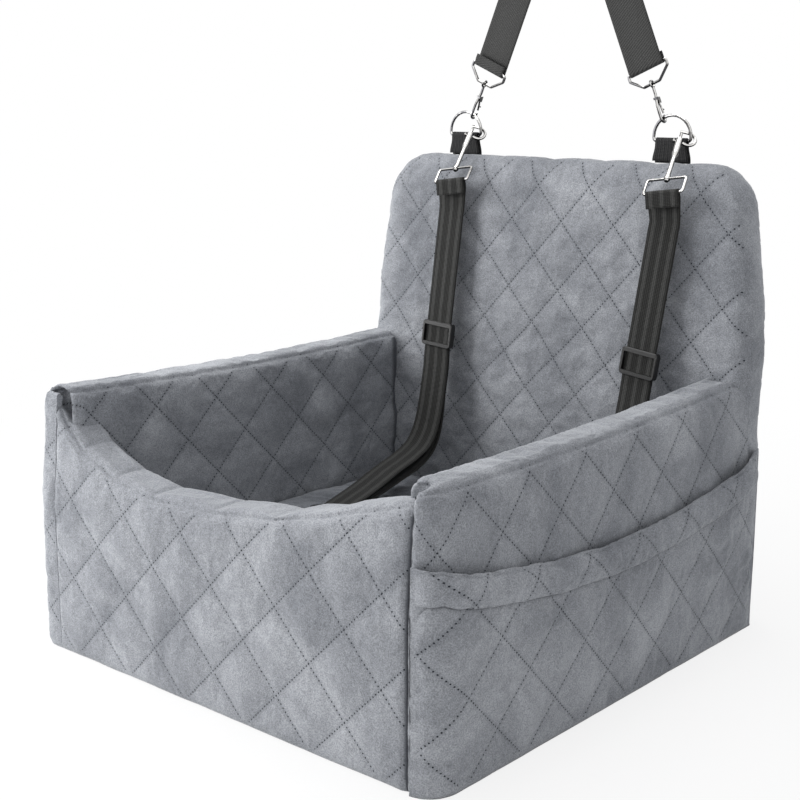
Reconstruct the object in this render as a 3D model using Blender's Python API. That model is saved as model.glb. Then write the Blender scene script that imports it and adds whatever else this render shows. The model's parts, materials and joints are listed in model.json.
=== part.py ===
"""Dog car seat: a quilted foam bed with a backrest, side pockets, a headrest strap and two tethers.

Metres, +Z up. The origin is the centre of the footprint on the floor. The front faces -Y.
"""

import math

import bmesh
import bpy
from mathutils import Matrix, Vector

# Overall size of the bed
WIDTH = 0.472
DEPTH = 0.480
WALL_HEIGHT = 0.238
BACK_HEIGHT = 0.429
WALL_THICK = 0.040
BACK_THICK = 0.051

# Clearances
GAP = 0.0003
PIN_PLAY = 0.0001
CORE_PLAY = 0.0008

# Walls
COVER_THICK = 0.0025
BOTTOM_SHEET = 0.0015
BOTTOM_INSET = 0.003
WALL_LEAN = 0.009
WALL_LEAN_START = 0.55
WALL_CROWN = 0.009
WALL_FOOT = 0.004
CORNER_RADIUS = 0.022
FRONT_SCOOP = 0.058
SCOOP_POWER = 0.75
SIDE_SAG = 0.010
END_DROP = 0.007
SEAM_INSET = 0.028

# Side pockets
POCKET_THICK = 0.003
POCKET_MOUTH = 0.0060
POCKET_FOOT = 0.003
POCKET_HEIGHT = 0.164
POCKET_DIP = 0.028
HEM_DEPTH = 0.024
HEM_PUFF = 0.0012

# Backrest
BACK_HALF_WIDTH = 0.2245
BACK_TOP_HALF_WIDTH = 0.212
BACK_TAPER_START = 0.290
BACK_CORNER = 0.045
BACK_LEAN = 0.009
BACK_FRONT_ROUND = 0.026
BACK_REAR_ROUND = 0.014
BACK_SIDE_ROUND = 0.010
BACK_CROWN = 0.004

# Base and cushion
BASE_THICK = 0.050
CUSHION_THICK = 0.045
CUSHION_PULL = 0.007
CUSHION_CORNER = 0.030

# Webbing
TAB_WIDTH = 0.038
TAB_TOP_WIDTH = 0.033
HEADREST_WEB = 0.038
TETHER_WEB = 0.032
WEB_THICK = 0.0014
HEM_LENGTH = 0.013
WEB_STRIPS = 4

# D-rings
RING_X = 0.123
RING_BEHIND = 0.010
RING_WIRE = 0.0015
RING_LEG = 0.004
RING_CORNER = 0.0030
RING_RISE = 0.018

# Headrest strap
LEG_TILT = math.radians(23.0)
STRAP_TOP = 0.680
STRAP_TWIST = 0.622
HEADREST_SLIDER_AT = 0.604
LOOP_WIRE = 0.0014
LOOP_DEPTH = 0.0165
LOOP_FOOT = 0.009
LOOP_CORNER = 0.0022
LOOP_SHOULDER = 0.006
HOOK_LEAN = math.radians(32.0)
TRIGGER_LENGTH = 0.034
TRIGGER_WIRE = 0.0013
TRIGGER_HOOK = 0.0036
TRIGGER_EYE_WIRE = 0.0011
TRIGGER_EYE_PLAY = 0.0006
FORK_START = 0.0148
FORK_END = 0.0206
FORK_BRIDGE = 0.0019
FORK_OUTER = 0.00205
FORK_INNER = 0.00125
FORK_LOW = -0.0010
FORK_HIGH = 0.0029
LEVER_PIVOT = (0.0165, 0.0012)
LEVER_HUB = 0.0017
LEVER_HALF = 0.00115
LEVER_WIRE = 0.0010
LEVER_TIP = 0.0050
NUB_WIRE = 0.0008
NUB_RISE = 0.0034
PIN_RADIUS = 0.0006
PIN_HALF = 0.0022
PIN_HOLE = 0.0008

# Bolt snaps
CLAW_RADIUS = 0.0074
CLAW_WIRE = 0.0015
BARREL_OFFSET = 0.0069
BARREL_RADIUS = 0.0033
BARREL_START = 0.0025
BARREL_END = 0.024
SHANK_END = 0.051
SHANK_RADIUS = 0.0021
BORE_RADIUS = 0.0020
BOLT_RADIUS = 0.0014
BOLT_TRAVEL = 0.0065
KNOB_AT = 0.0065
KNOB_RADIUS = 0.0021
KNOB_STEM = 0.0008
KNOB_RISE = 0.0041
SLOT_PLAY = 0.0002
PISTON_LENGTH = 0.0075
SPRING_WIRE = 0.0002
SPRING_TURNS = 6
NECK_RADIUS = 0.0014
NECK_HEAD = 0.0011
HUB_LENGTH = 0.0026
HUB_RADIUS = 0.0030
EYE_WIRE = 0.0013
CLAW_FACING = 70.0
CLAW_PLACE = (0.0, -0.0040, 0.0010)
EYE_DEPTH = 0.018
EYE_CORNER = 0.0028

# Tri-glide sliders
SLIDER_LENGTH = 0.026
SLIDER_RIM = 0.0042
SLIDER_SIDE = 0.0026
SLIDER_PLAY = 0.0006
SLIDER_THICK = 0.0026
SLIDER_CORNER = 0.004
SLIDER_EDGE = 0.0007
SLIDER_ROD = 0.16

# Tethers: each route's places across the seat, forward of the backrest and above the cushion
UPPER_HANG = (0.187, -0.708, -0.681)
TETHER_X = {"left": (-0.1010, -0.1105), "right": (0.1480, 0.1315)}
TETHER_RUN = 0.145
RUN_LEAD = 0.030
RUN_STAND = (0.0040, 0.0155)
TETHER_BENDS = {
    "left": (
        (-0.1095, 0.0200, 0.1080), (-0.1065, 0.0340, 0.0640), (-0.1042, 0.0500, 0.0420),
        (-0.1010, 0.0750, 0.0320), (-0.0975, 0.1070, 0.0250), (-0.0935, 0.1450, 0.0150),
    ),
    "right": (
        (0.1300, 0.0200, 0.1080), (0.1290, 0.0340, 0.0640), (0.1270, 0.0500, 0.0420),
        (0.1240, 0.0750, 0.0320), (0.1210, 0.1050, 0.0240), (0.1170, 0.1400, 0.0150),
    ),
}
TETHER_END = {"left": (-0.0895, 0.1880), "right": (0.1130, 0.1820)}
TETHER_HEADING = {"left": (0.09, -0.995), "right": (-0.09, -0.995)}
LAYER_BULGE = 0.009
SLIDER_ABOVE = 0.0140

# Colours and finishes: base colour, roughness, metallic
VELVET = ((0.27, 0.285, 0.31), 0.9, 0.0)
POCKET_VELVET = ((0.25, 0.265, 0.29), 0.9, 0.0)
THIN_VELVET = ((0.24, 0.25, 0.27), 0.85, 0.0)
FOAM = ((0.80, 0.78, 0.66), 0.95, 0.0)
NONSLIP = ((0.05, 0.05, 0.055), 0.8, 0.0)
BLACK_WEB = ((0.02, 0.02, 0.02), 0.75, 0.0)
TETHER_GREY = ((0.045, 0.045, 0.043), 0.7, 0.0)
STRAP_GREY = ((0.05, 0.05, 0.05), 0.75, 0.0)
NICKEL = ((0.75, 0.74, 0.72), 0.15, 1.0)
SPRING_STEEL = ((0.55, 0.55, 0.56), 0.3, 1.0)
BLACK_PLASTIC = ((0.015, 0.015, 0.016), 0.35, 0.0)

HALF_W = WIDTH / 2
HALF_D = DEPTH / 2
BED_LOW = BOTTOM_SHEET + GAP
WALL_FACE = HALF_W - POCKET_THICK - POCKET_MOUTH - 2 * GAP
INNER_X = WALL_FACE - WALL_THICK
FRONT_FACE = -HALF_D + POCKET_THICK + GAP
FRONT_INNER = -HALF_D + WALL_THICK
BACK_REAR = HALF_D
BACK_FACE = BACK_REAR - BACK_THICK
RING_Y = BACK_REAR - RING_BEHIND
SEAM_X = HALF_W - SEAM_INSET
BASE_TOP = BED_LOW + BASE_THICK
CUSHION_LOW = BASE_TOP + GAP
CUSHION_TOP = CUSHION_LOW + CUSHION_THICK
X_AXIS = Vector((1.0, 0.0, 0.0))
Y_AXIS = Vector((0.0, 1.0, 0.0))
Z_AXIS = Vector((0.0, 0.0, 1.0))

MATERIALS = {}


def clear_scene():
    """Remove whatever the new file holds."""
    for obj in list(bpy.data.objects):
        bpy.data.objects.remove(obj)


def material(name, finish):
    """A Principled BSDF with a colour, a roughness and a metallic value."""
    if name not in MATERIALS:
        made = bpy.data.materials.new(name)
        made.use_nodes = True
        shader = made.node_tree.nodes["Principled BSDF"]
        colour, roughness, metallic = finish
        shader.inputs["Base Color"].default_value = (*colour, 1.0)
        shader.inputs["Roughness"].default_value = roughness
        shader.inputs["Metallic"].default_value = metallic
        made.diffuse_color = (*colour, 1.0)
        MATERIALS[name] = made
    return MATERIALS[name]


def add_object(name, bm, at=None, finish=None, smooth=True):
    """Turn a bmesh into an object with its own material."""
    bmesh.ops.remove_doubles(bm, verts=bm.verts, dist=1e-7)
    bmesh.ops.recalc_face_normals(bm, faces=bm.faces)
    mesh = bpy.data.meshes.new(name)
    bm.to_mesh(mesh)
    bm.free()
    if smooth:
        mesh.shade_smooth()
        mesh.set_sharp_from_angle(angle=math.radians(40.0))
    obj = bpy.data.objects.new(name, mesh)
    bpy.context.scene.collection.objects.link(obj)
    if at is not None:
        settle(obj, at)
    if finish is not None:
        mesh.materials.append(material(name + "_finish", finish))
    return obj


def settle(obj, at):
    """Split a finished solid's faces into triangles and move it to its place."""
    bm = bmesh.new()
    bm.from_mesh(obj.data)
    bmesh.ops.triangulate(bm, faces=bm.faces)
    bm.to_mesh(obj.data)
    bm.free()
    obj.rotation_mode = "QUATERNION"
    obj.matrix_world = at
    return obj


def boolean(target, tool, operation):
    """Apply one exact Boolean and remove its tool."""
    modifier = target.modifiers.new(operation.lower(), "BOOLEAN")
    modifier.operation = operation
    modifier.solver = "EXACT"
    modifier.object = tool
    bpy.context.view_layer.update()
    graph = bpy.context.evaluated_depsgraph_get()
    result = bpy.data.meshes.new_from_object(target.evaluated_get(graph))
    target.modifiers.remove(modifier)
    old = target.data
    target.data = result
    bpy.data.meshes.remove(old)
    bpy.data.objects.remove(tool)
    return target


def join(target, *tools):
    """Unite solids that meet."""
    for tool in tools:
        boolean(target, tool, "UNION")
    return target


def cut(target, *tools):
    """Cut solids away."""
    for tool in tools:
        boolean(target, tool, "DIFFERENCE")
    return target


def loft(rings, closed=False, mirrored=False):
    """Skin a row of rings with the same number of points, capped unless it closes on itself.

    The caps of mirrored rings are strips from side to side.
    """
    bm = bmesh.new()
    rows = [[bm.verts.new(point) for point in ring] for ring in rings]
    pairs = list(zip(rows, rows[1:]))
    if closed:
        pairs.append((rows[-1], rows[0]))
    count = len(rings[0])
    if not closed:
        for row in (rows[0], rows[-1]):
            if mirrored:
                for i in range(count // 2 - 1):
                    bm.faces.new((row[i], row[i + 1], row[count - 2 - i], row[count - 1 - i]))
            else:
                bm.faces.new(row)
    for near, far in pairs:
        for i in range(count):
            j = (i + 1) % count
            bm.faces.new((near[i], near[j], far[j], far[i]))
    return bm


def box(name, low, high):
    """A plain block between two corners."""
    bm = bmesh.new()
    middle = (Vector(low) + Vector(high)) / 2
    size = Vector(high) - Vector(low)
    bmesh.ops.create_cube(bm, size=1.0, matrix=Matrix.Translation(middle) @ Matrix.Diagonal((*size, 1.0)))
    return add_object(name, bm)


def turned(name, profile, at=None, finish=None, sides=12):
    """A solid turned about its own X axis from (x, radius) stations."""
    rings = []
    for x, radius in profile:
        angles = [2 * math.pi * i / sides for i in range(sides)]
        rings.append([(x, radius * math.cos(a), radius * math.sin(a)) for a in angles])
    return add_object(name, loft(rings), at, finish)


def wire(name, points, radius, closed=False, at=None, finish=None, sides=8):
    """A round wire swept along points, with its rings square to the path."""
    points = [Vector(point) for point in points]
    count = len(points)
    rings = []
    across = None
    for i, point in enumerate(points):
        before = points[i - 1] if i or closed else point
        after = points[(i + 1) % count] if i < count - 1 or closed else point
        along = (after - before).normalized()
        if across is None:
            across = along.orthogonal().normalized()
        across = (across - along * across.dot(along)).normalized()
        upward = along.cross(across)
        ring = []
        for k in range(sides):
            angle = 2 * math.pi * k / sides
            ring.append(point + radius * (math.cos(angle) * across + math.sin(angle) * upward))
        rings.append(ring)
    return add_object(name, loft(rings, closed), at, finish)


def ribbon(name, points, widths, width, thick, at=None, finish=None, turned_from=None):
    """A flat webbing swept along points, each with its own width direction.

    The width may be one value or one for each point. Both faces are split along the same diagonals, and
    from turned_from on, where the webbing runs back along itself, along the other ones.
    """
    points = [Vector(point) for point in points]
    spans = width if isinstance(width, list) else [width] * len(points)
    bm = bmesh.new()
    rows = []
    for i, point in enumerate(points):
        before = points[max(i - 1, 0)]
        after = points[min(i + 1, len(points) - 1)]
        along = (after - before).normalized()
        side = Vector(widths[i])
        side = (side - along * side.dot(along)).normalized() * spans[i] / 2
        face = side.cross(along).normalized() * thick / 2
        shares = [1.0 - 2.0 * k / WEB_STRIPS for k in range(WEB_STRIPS + 1)]
        upper = [bm.verts.new(point + side * share + face) for share in shares]
        lower = [bm.verts.new(point + side * share - face) for share in shares]
        rows.append((upper, lower))
    for i, (near, far) in enumerate(zip(rows, rows[1:])):
        other = turned_from is not None and i >= turned_from
        for upper, lower in ((near[0], far[0]), (near[1], far[1])):
            for k in range(WEB_STRIPS):
                a, b, c, d = upper[k], upper[k + 1], lower[k + 1], lower[k]
                corners = ((a, b, d), (b, c, d)) if other else ((a, b, c), (a, c, d))
                for triangle in corners:
                    bm.faces.new(triangle)
        for k in (0, WEB_STRIPS):
            bm.faces.new((near[0][k], far[0][k], far[1][k], near[1][k]))
    for upper, lower in (rows[0], rows[-1]):
        for k in range(WEB_STRIPS):
            bm.faces.new((upper[k], upper[k + 1], lower[k + 1], lower[k]))
    return add_object(name, bm, at, finish)


def arc(centre, radius, start, end, steps, first=X_AXIS, second=Z_AXIS):
    """Points on a circle between two angles, in the plane of two unit vectors."""
    points = []
    for i in range(steps + 1):
        angle = math.radians(start + (end - start) * i / steps)
        points.append(Vector(centre) + radius * (math.cos(angle) * first + math.sin(angle) * second))
    return points


def smooth_path(points, steps=4):
    """A Catmull-Rom curve through points."""
    points = [Vector(point) for point in points]
    ends = [2 * points[0] - points[1]] + points + [2 * points[-1] - points[-2]]
    path = []
    for p0, p1, p2, p3 in zip(ends, ends[1:], ends[2:], ends[3:]):
        for k in range(steps):
            t = k / steps
            path.append(
                0.5 * (2 * p1 + (p2 - p0) * t + (2 * p0 - 5 * p1 + 4 * p2 - p3) * t ** 2
                       + (3 * p1 - p0 - 3 * p2 + p3) * t ** 3)
            )
    path.append(points[-1])
    return path


def frame(origin, x_axis, y_hint):
    """A matrix whose X runs along x_axis and whose Y is the hint made square to it."""
    x = Vector(x_axis).normalized()
    y = Vector(y_hint)
    y = (y - x * y.dot(x)).normalized()
    z = x.cross(y)
    rotation = Matrix((x, y, z)).transposed().to_4x4()
    return Matrix.Translation(Vector(origin)) @ rotation


def round_inset(distance, radius):
    """How far a rounded edge lies inside its corner at a distance from it."""
    if distance >= radius:
        return 0.0
    return radius - math.sqrt(max(radius ** 2 - (radius - distance) ** 2, 0.0))


def wall_section(outer, inner, top, low, inset):
    """One wall cross-section as (distance from the outside, height) pairs."""
    thick = inner - outer - 2 * inset
    crown = min(WALL_CROWN, top * 0.4)
    lean_start = WALL_HEIGHT * WALL_LEAN_START
    bend = WALL_LEAN * (top - crown - lean_start) / (WALL_HEIGHT - lean_start)
    lean = max(bend, 0.0)
    edge = outer + inset
    far = inner - inset
    high = top - inset
    foot = min(WALL_FOOT, thick * 0.2)
    return [
        (edge + foot, low),
        (edge, low + foot),
        (edge, lean_start),
        (edge + lean, high - crown),
        (edge + lean + 0.12 * thick, high - 0.35 * crown),
        (edge + lean + 0.32 * (thick - lean), high),
        (edge + lean + 0.62 * (thick - lean), high),
        (far - 0.10 * thick, high - 0.35 * crown),
        (far, high - crown),
        (far, low),
    ]


def side_top(y):
    """Height of a side wall's top at a place along its depth."""
    share = (y + HALF_D) / DEPTH
    sag = SIDE_SAG * math.sin(math.pi * min(max(share, 0.0), 1.0))
    near = min(y - FRONT_FACE, BACK_REAR - y)
    return WALL_HEIGHT - sag - END_DROP * round_inset(near, CORNER_RADIUS) / CORNER_RADIUS


def front_top(x):
    """Height of the scooped front wall's top at a place along its width."""
    share = (x + SEAM_X) / (2 * SEAM_X)
    scoop = math.sin(math.pi * min(max(share, 0.0), 1.0)) ** SCOOP_POWER
    return WALL_HEIGHT - END_DROP - FRONT_SCOOP * scoop


def side_wall(name, sign, inset, low, finish=None, rear=BACK_REAR, front_end=0.0):
    """A side wall or its cavity, as sections along its depth."""
    start = FRONT_FACE + inset + front_end
    stop = rear - inset
    steps = [0.0, 0.04, 0.15, 0.45, 1.0]
    stations = [start + CORNER_RADIUS * s for s in steps]
    stations += [start + (stop - start) * s for s in (0.25, 0.45, 0.65, 0.85)]
    stations += [stop - CORNER_RADIUS * s for s in reversed(steps)]
    rings = []
    for y in stations:
        near = max(min(y - FRONT_FACE, rear - y), 0.0)
        corner = 0.0 if inset else round_inset(near, CORNER_RADIUS)
        section = wall_section(corner, WALL_THICK, side_top(y), low, inset)
        rings.append([(sign * (WALL_FACE - d), y, z) for d, z in section])
    return add_object(name, loft(rings), finish=finish)


def front_wall(name, inset, low, finish=None):
    """The scooped front wall or its cavity, as sections along its width."""
    stop = SEAM_X - GAP - inset
    rings = []
    for share in (-1.0, -0.94, -0.84, -0.68, -0.45, -0.15, 0.15, 0.45, 0.68, 0.84, 0.94, 1.0):
        x = share * stop
        section = wall_section(0.0, WALL_THICK, front_top(x), low, inset)
        rings.append([(x, -HALF_D + d, z) for d, z in section])
    return add_object(name, loft(rings), finish=finish)


def back_ring(side_inset, top_inset, depth, low, front):
    """One outline at a depth behind the front face, leaning back towards the top."""
    right = []
    bottom = BACK_HALF_WIDTH - side_inset
    top_half = BACK_TOP_HALF_WIDTH - side_inset
    top = BACK_HEIGHT - top_inset
    radius = max(BACK_CORNER - 0.5 * (side_inset + top_inset), 0.006)
    right.append((bottom, low))
    right.append((bottom, BACK_TAPER_START))
    for point in arc((top_half - radius, 0.0, top - radius), radius, 0.0, 90.0, 5):
        right.append((point.x, point.z))
    outline = right + [(-x, z) for x, z in reversed(right)]
    ring = []
    for x, z in outline:
        lean = BACK_LEAN * max(z - WALL_HEIGHT, 0.0) / (BACK_HEIGHT - WALL_HEIGHT) if front else 0.0
        ring.append((x, BACK_FACE + depth + lean, z))
    return ring


def backrest(name, inset, low, finish=None):
    """The backrest or its cavity: outlines from the front face to the rear face."""
    middle = BACK_FRONT_ROUND + 0.004
    rear = BACK_THICK
    # side inset, top inset, depth, leans with the front face
    stations = [
        (0.090, 0.090, -BACK_CROWN, True),
        (0.040, 0.052, -0.0004, True),
        (BACK_SIDE_ROUND, BACK_FRONT_ROUND, 0.0, True),
        (0.3 * BACK_SIDE_ROUND, 0.45 * BACK_FRONT_ROUND, 0.16 * BACK_FRONT_ROUND, True),
        (0.0, 0.13 * BACK_FRONT_ROUND, 0.5 * BACK_FRONT_ROUND, True),
        (0.0, 0.0, middle, False),
        (0.0, 0.0, rear - BACK_REAR_ROUND, False),
        (0.3 * BACK_SIDE_ROUND, 0.3 * BACK_REAR_ROUND, rear - 0.3 * BACK_REAR_ROUND, False),
        (BACK_SIDE_ROUND, BACK_REAR_ROUND, rear, False),
    ]
    rings = []
    for side, top, depth, front in stations:
        if inset and side > BACK_SIDE_ROUND:
            continue
        shift = inset if front else -inset * (depth > middle)
        rings.append(back_ring(side + inset, top + inset, depth + shift, low, front))
    return add_object(name, loft(rings, mirrored=True), finish=finish)


def pocket_path(sign):
    """Stations round a side wall's outside: each point with its outward normal, rear to front seam."""
    centre = Vector((WALL_FACE - CORNER_RADIUS, FRONT_FACE + CORNER_RADIUS, 0.0))
    stations = []
    for share in (0.0, 0.06, 0.16, 0.35, 0.55, 0.75, 0.90, 1.0):
        y = BACK_REAR - CORNER_RADIUS * 0.9 + share * (centre.y - BACK_REAR + CORNER_RADIUS * 0.9)
        stations.append((Vector((WALL_FACE, y, 0.0)), X_AXIS.copy()))
    for angle in (10.0, 20.0, 30.0, 40.0, 50.0, 60.0, 70.0, 78.0):
        turn = math.radians(angle)
        normal = Vector((math.cos(turn), -math.sin(turn), 0.0))
        stations.append((centre + CORNER_RADIUS * normal, normal))
    return [(Vector((sign * p.x, p.y, 0.0)), Vector((sign * n.x, n.y, 0.0))) for p, n in stations]


def pocket_top(share):
    """Height of the pocket's mouth, sagging between its two ends."""
    return POCKET_HEIGHT - POCKET_DIP * math.sin(math.pi * share) ** 0.8


def side_pocket(name, sign, finish):
    """A pocket panel whose mouth stands off the wall, with a puffy hem."""
    path = pocket_path(sign)
    rings = []
    for i, (point, normal) in enumerate(path):
        share = i / (len(path) - 1)
        top = pocket_top(min(share * 1.15, 1.0) if share < 0.87 else 1.0)
        open_share = min(math.sin(math.pi * min(share * 1.3, 1.0)) * 1.6, 1.0) if share < 0.75 else 0.0
        gap = POCKET_MOUTH * max(open_share, 0.0)
        inner = []
        outer = []
        for height, stand, puff in (
            (POCKET_FOOT, 0.0, 0.0),
            (0.35 * top, 0.45, 0.0),
            (top - HEM_DEPTH - 0.004, 1.0, 0.0),
            (top - HEM_DEPTH * 0.5, 1.0, 1.0),
            (top - 0.002, 1.0, 0.6),
        ):
            near = GAP + gap * stand
            inner.append(point + normal * near + Z_AXIS * height)
            thick = POCKET_THICK - HEM_PUFF + HEM_PUFF * puff
            outer.append(point + normal * (near + thick) + Z_AXIS * height)
        crest = point + normal * (GAP + gap + POCKET_THICK / 2) + Z_AXIS * top
        rings.append(inner + [crest] + list(reversed(outer)))
    return add_object(name, loft(rings), finish=finish)


def rounded_slab(name, half_x, low_y, high_y, low, high, corner, rounds, finish):
    """A slab with round corners from (inset, height share) stations."""
    middle_y = (low_y + high_y) / 2
    half_y = (high_y - low_y) / 2
    rings = []
    for inset, share in rounds:
        ring = []
        radius = max(corner - 0.5 * inset, 0.002)
        for cx, cy, start in ((1, 1, 0.0), (-1, 1, 90.0), (-1, -1, 180.0), (1, -1, 270.0)):
            centre = (cx * (half_x - inset - radius), middle_y + cy * (half_y - inset - radius), 0.0)
            ring += arc(centre, radius, start, start + 90.0, 3, X_AXIS, Y_AXIS)
        rings.append([(p.x, p.y, low + (high - low) * share) for p in ring])
    return add_object(name, loft(rings), finish=finish)


def seat_cushion(name, finish):
    """A crowned cushion whose sides pull in between its corners."""
    half_x = INNER_X - GAP - 0.001
    low_y = FRONT_INNER + GAP + 0.001
    high_y = BACK_FACE - BACK_CROWN - GAP - 0.001
    middle_y = (low_y + high_y) / 2
    half_y = (high_y - low_y) / 2
    rings = []
    for inset, share in (
        (0.010, 0.0), (0.0, 0.22), (0.0, 0.60), (0.005, 0.76),
        (0.022, 0.90), (0.050, 0.985), (0.095, 1.0),
    ):
        ring = []
        radius = max(CUSHION_CORNER - 0.3 * inset, 0.004)
        sides = ((1, 1, 0.0), (-1, 1, 90.0), (-1, -1, 180.0), (1, -1, 270.0))
        for cx, cy, start in sides:
            centre = (cx * (half_x - inset - radius), middle_y + cy * (half_y - inset - radius), 0.0)
            ring += arc(centre, radius, start, start + 90.0, 3, X_AXIS, Y_AXIS)
            along_y = start in (0.0, 180.0)
            pull = CUSHION_PULL * (1.0 if share < 0.99 else 0.0)
            if along_y:
                ring.append(Vector((0.0, middle_y + cy * (half_y - inset - pull), 0.0)))
            else:
                ring.append(Vector((cx * (half_x - inset - pull), middle_y, 0.0)))
        rings.append([(p.x, p.y, CUSHION_LOW + CUSHION_THICK * share) for p in ring])
    return add_object(name, loft(rings), finish=finish)


def shell(name, outer, cavity, finish):
    """A cover: the outer shape with its cavity cut out, open at the foot."""
    outer.name = name
    cut(outer, cavity)
    outer.data.materials.clear()
    outer.data.materials.append(material(name + "_finish", finish))
    return outer


def build_walls():
    """Front, side and back walls: each a cover with a foam core."""
    below = -0.01
    clear = COVER_THICK + CORE_PLAY
    front = front_wall("front_wall_cover", 0.0, BED_LOW)
    shell("front_wall_cover", front, front_wall("cavity", COVER_THICK, below), VELVET)
    front_wall("front_wall_foam", clear, BED_LOW, FOAM)
    for label, sign in (("left", -1), ("right", 1)):
        name = label + "_wall_cover"
        cover = side_wall(name, sign, 0.0, BED_LOW)
        seam = box("front_notch", (-SEAM_X, -HALF_D - 0.01, below), (SEAM_X, FRONT_INNER + GAP, WALL_HEIGHT))
        rear = box(
            "rear_notch",
            (-BACK_HALF_WIDTH - GAP, BACK_FACE - GAP - 0.0005, below),
            (BACK_HALF_WIDTH + GAP, HALF_D + 0.01, WALL_HEIGHT + 0.01),
        )
        cut(cover, seam, rear)
        core_front = FRONT_INNER - FRONT_FACE + GAP
        core_rear = BACK_FACE - GAP
        cavity = side_wall("cavity", sign, COVER_THICK, below, rear=core_rear, front_end=core_front)
        shell(name, cover, cavity, VELVET)
        side_wall(label + "_wall_foam", sign, clear, BED_LOW, FOAM, rear=core_rear, front_end=core_front)
    back = backrest("backrest_cover", 0.0, BED_LOW)
    shell("backrest_cover", back, backrest("cavity", COVER_THICK, below), VELVET)
    backrest("backrest_foam", clear, BED_LOW, FOAM)


def build_base():
    """Non-slip bottom, base foam and the lift-out seat cushion."""
    edge = BOTTOM_INSET
    rounded_slab(
        "nonslip_bottom", WALL_FACE - edge, -HALF_D + edge, BACK_REAR - edge, 0.0, BOTTOM_SHEET,
        CORNER_RADIUS, ((0.0, 0.0), (0.0, 1.0)), NONSLIP,
    )
    rounded_slab(
        "base_foam", INNER_X - GAP, FRONT_INNER + 2 * GAP, BACK_FACE - BACK_CROWN - GAP, BED_LOW, BASE_TOP,
        0.006, ((0.0, 0.0), (0.0, 1.0)), FOAM,
    )
    seat_cushion("seat_cushion", THIN_VELVET)


def build_pockets():
    """The two side pockets."""
    side_pocket("left_side_pocket", -1, POCKET_VELVET)
    side_pocket("right_side_pocket", 1, POCKET_VELVET)


def ring_bar_height():
    """Height of the D-rings' bar, over the backrest's top seam."""
    return BACK_HEIGHT + RING_RISE


def ring_half():
    """Half the width of a D-ring at its wire's middle."""
    return TAB_TOP_WIDTH / 2 + GAP + RING_CORNER


def back_top_at(y):
    """Height of the backrest's rounded top near its rear face."""
    return BACK_HEIGHT - round_inset(BACK_REAR - y, BACK_REAR_ROUND) + GAP


def build_ring(label, sign):
    """A webbing tab folded round the bar of its D-ring."""
    centre = Vector((sign * RING_X, RING_Y, ring_bar_height()))
    half = ring_half()
    corner = RING_CORNER
    points = []
    low_right = Vector((half - corner, 0.0, corner))
    points += arc(low_right, corner, -90.0, 0.0, 3)
    points += arc((0.0, 0.0, RING_LEG), half, 0.0, 180.0, 14)
    points += arc((-half + corner, 0.0, corner), corner, 180.0, 270.0, 3)
    at = Matrix.Translation(centre)
    wire(label + "_d_ring", points, RING_WIRE, closed=True, at=at, finish=NICKEL)
    inner = RING_WIRE + GAP + WEB_THICK / 2
    front_y = -inner
    rear_y = inner
    fold = [Vector((0.0, front_y, back_top_at(centre.y + front_y) - centre.z))]
    fold += arc((0.0, 0.0, 0.0), inner, 180.0, 0.0, 8, Y_AXIS, Z_AXIS)
    fold.append(Vector((0.0, rear_y, back_top_at(centre.y + rear_y) - centre.z)))
    spans = [TAB_WIDTH] + [TAB_TOP_WIDTH] * (len(fold) - 2) + [TAB_WIDTH]
    ribbon(label + "_webbing_tab", fold, [X_AXIS] * len(fold), spans, WEB_THICK, at=at, finish=BLACK_WEB)
    return centre


def hook_point(centre, sign):
    """Where a trigger snap hooks the arc of its D-ring, and the direction up the strap's leg."""
    half = ring_half()
    place = centre + Vector((-sign * half * math.sin(HOOK_LEAN), 0.0, RING_LEG + half * math.cos(HOOK_LEAN)))
    along = Vector((-sign * math.sin(LEG_TILT), 0.0, math.cos(LEG_TILT)))
    return place, along


def trigger_body(label, hole):
    """The lever snap's hook, shank and eye, with the fork that holds the lever, at the origin."""
    hook = TRIGGER_HOOK
    shank = arc((0.0, 0.0, 0.0), hook, 40.0, 270.0, 9, X_AXIS, Y_AXIS)
    shank += [Vector((0.006, -hook, 0.0)), Vector((0.012, -hook * 0.9, 0.0))]
    eye_radius = LOOP_WIRE + TRIGGER_EYE_PLAY + TRIGGER_EYE_WIRE
    shank += [Vector((0.018, -hook * 0.45, 0.0)), Vector((0.0235, 0.0, 0.0))]
    shank.append(Vector((TRIGGER_LENGTH - eye_radius, 0.0, 0.0)))
    body = wire(label + "_trigger_snap", shank, TRIGGER_WIRE, finish=NICKEL)
    eye_ring = arc((TRIGGER_LENGTH, 0.0, 0.0), eye_radius, 0.0, 330.0, 11, X_AXIS, Y_AXIS)
    join(body, wire("eye", eye_ring, TRIGGER_EYE_WIRE, closed=True))
    low = (FORK_END - FORK_BRIDGE, -hook * 0.78, -FORK_OUTER)
    join(body, box("bridge", low, (FORK_END, LEVER_PIVOT[1] - PIN_HOLE, FORK_OUTER)))
    for start in (-FORK_OUTER, FORK_INNER):
        stop = start + FORK_OUTER - FORK_INNER
        join(body, box("cheek", (FORK_START, FORK_LOW, start), (FORK_END, FORK_HIGH, stop)))
    cut(body, turned("hole", ((-2 * PIN_HALF, PIN_HOLE), (2 * PIN_HALF, PIN_HOLE)), at=hole, sides=8))
    return body


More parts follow.
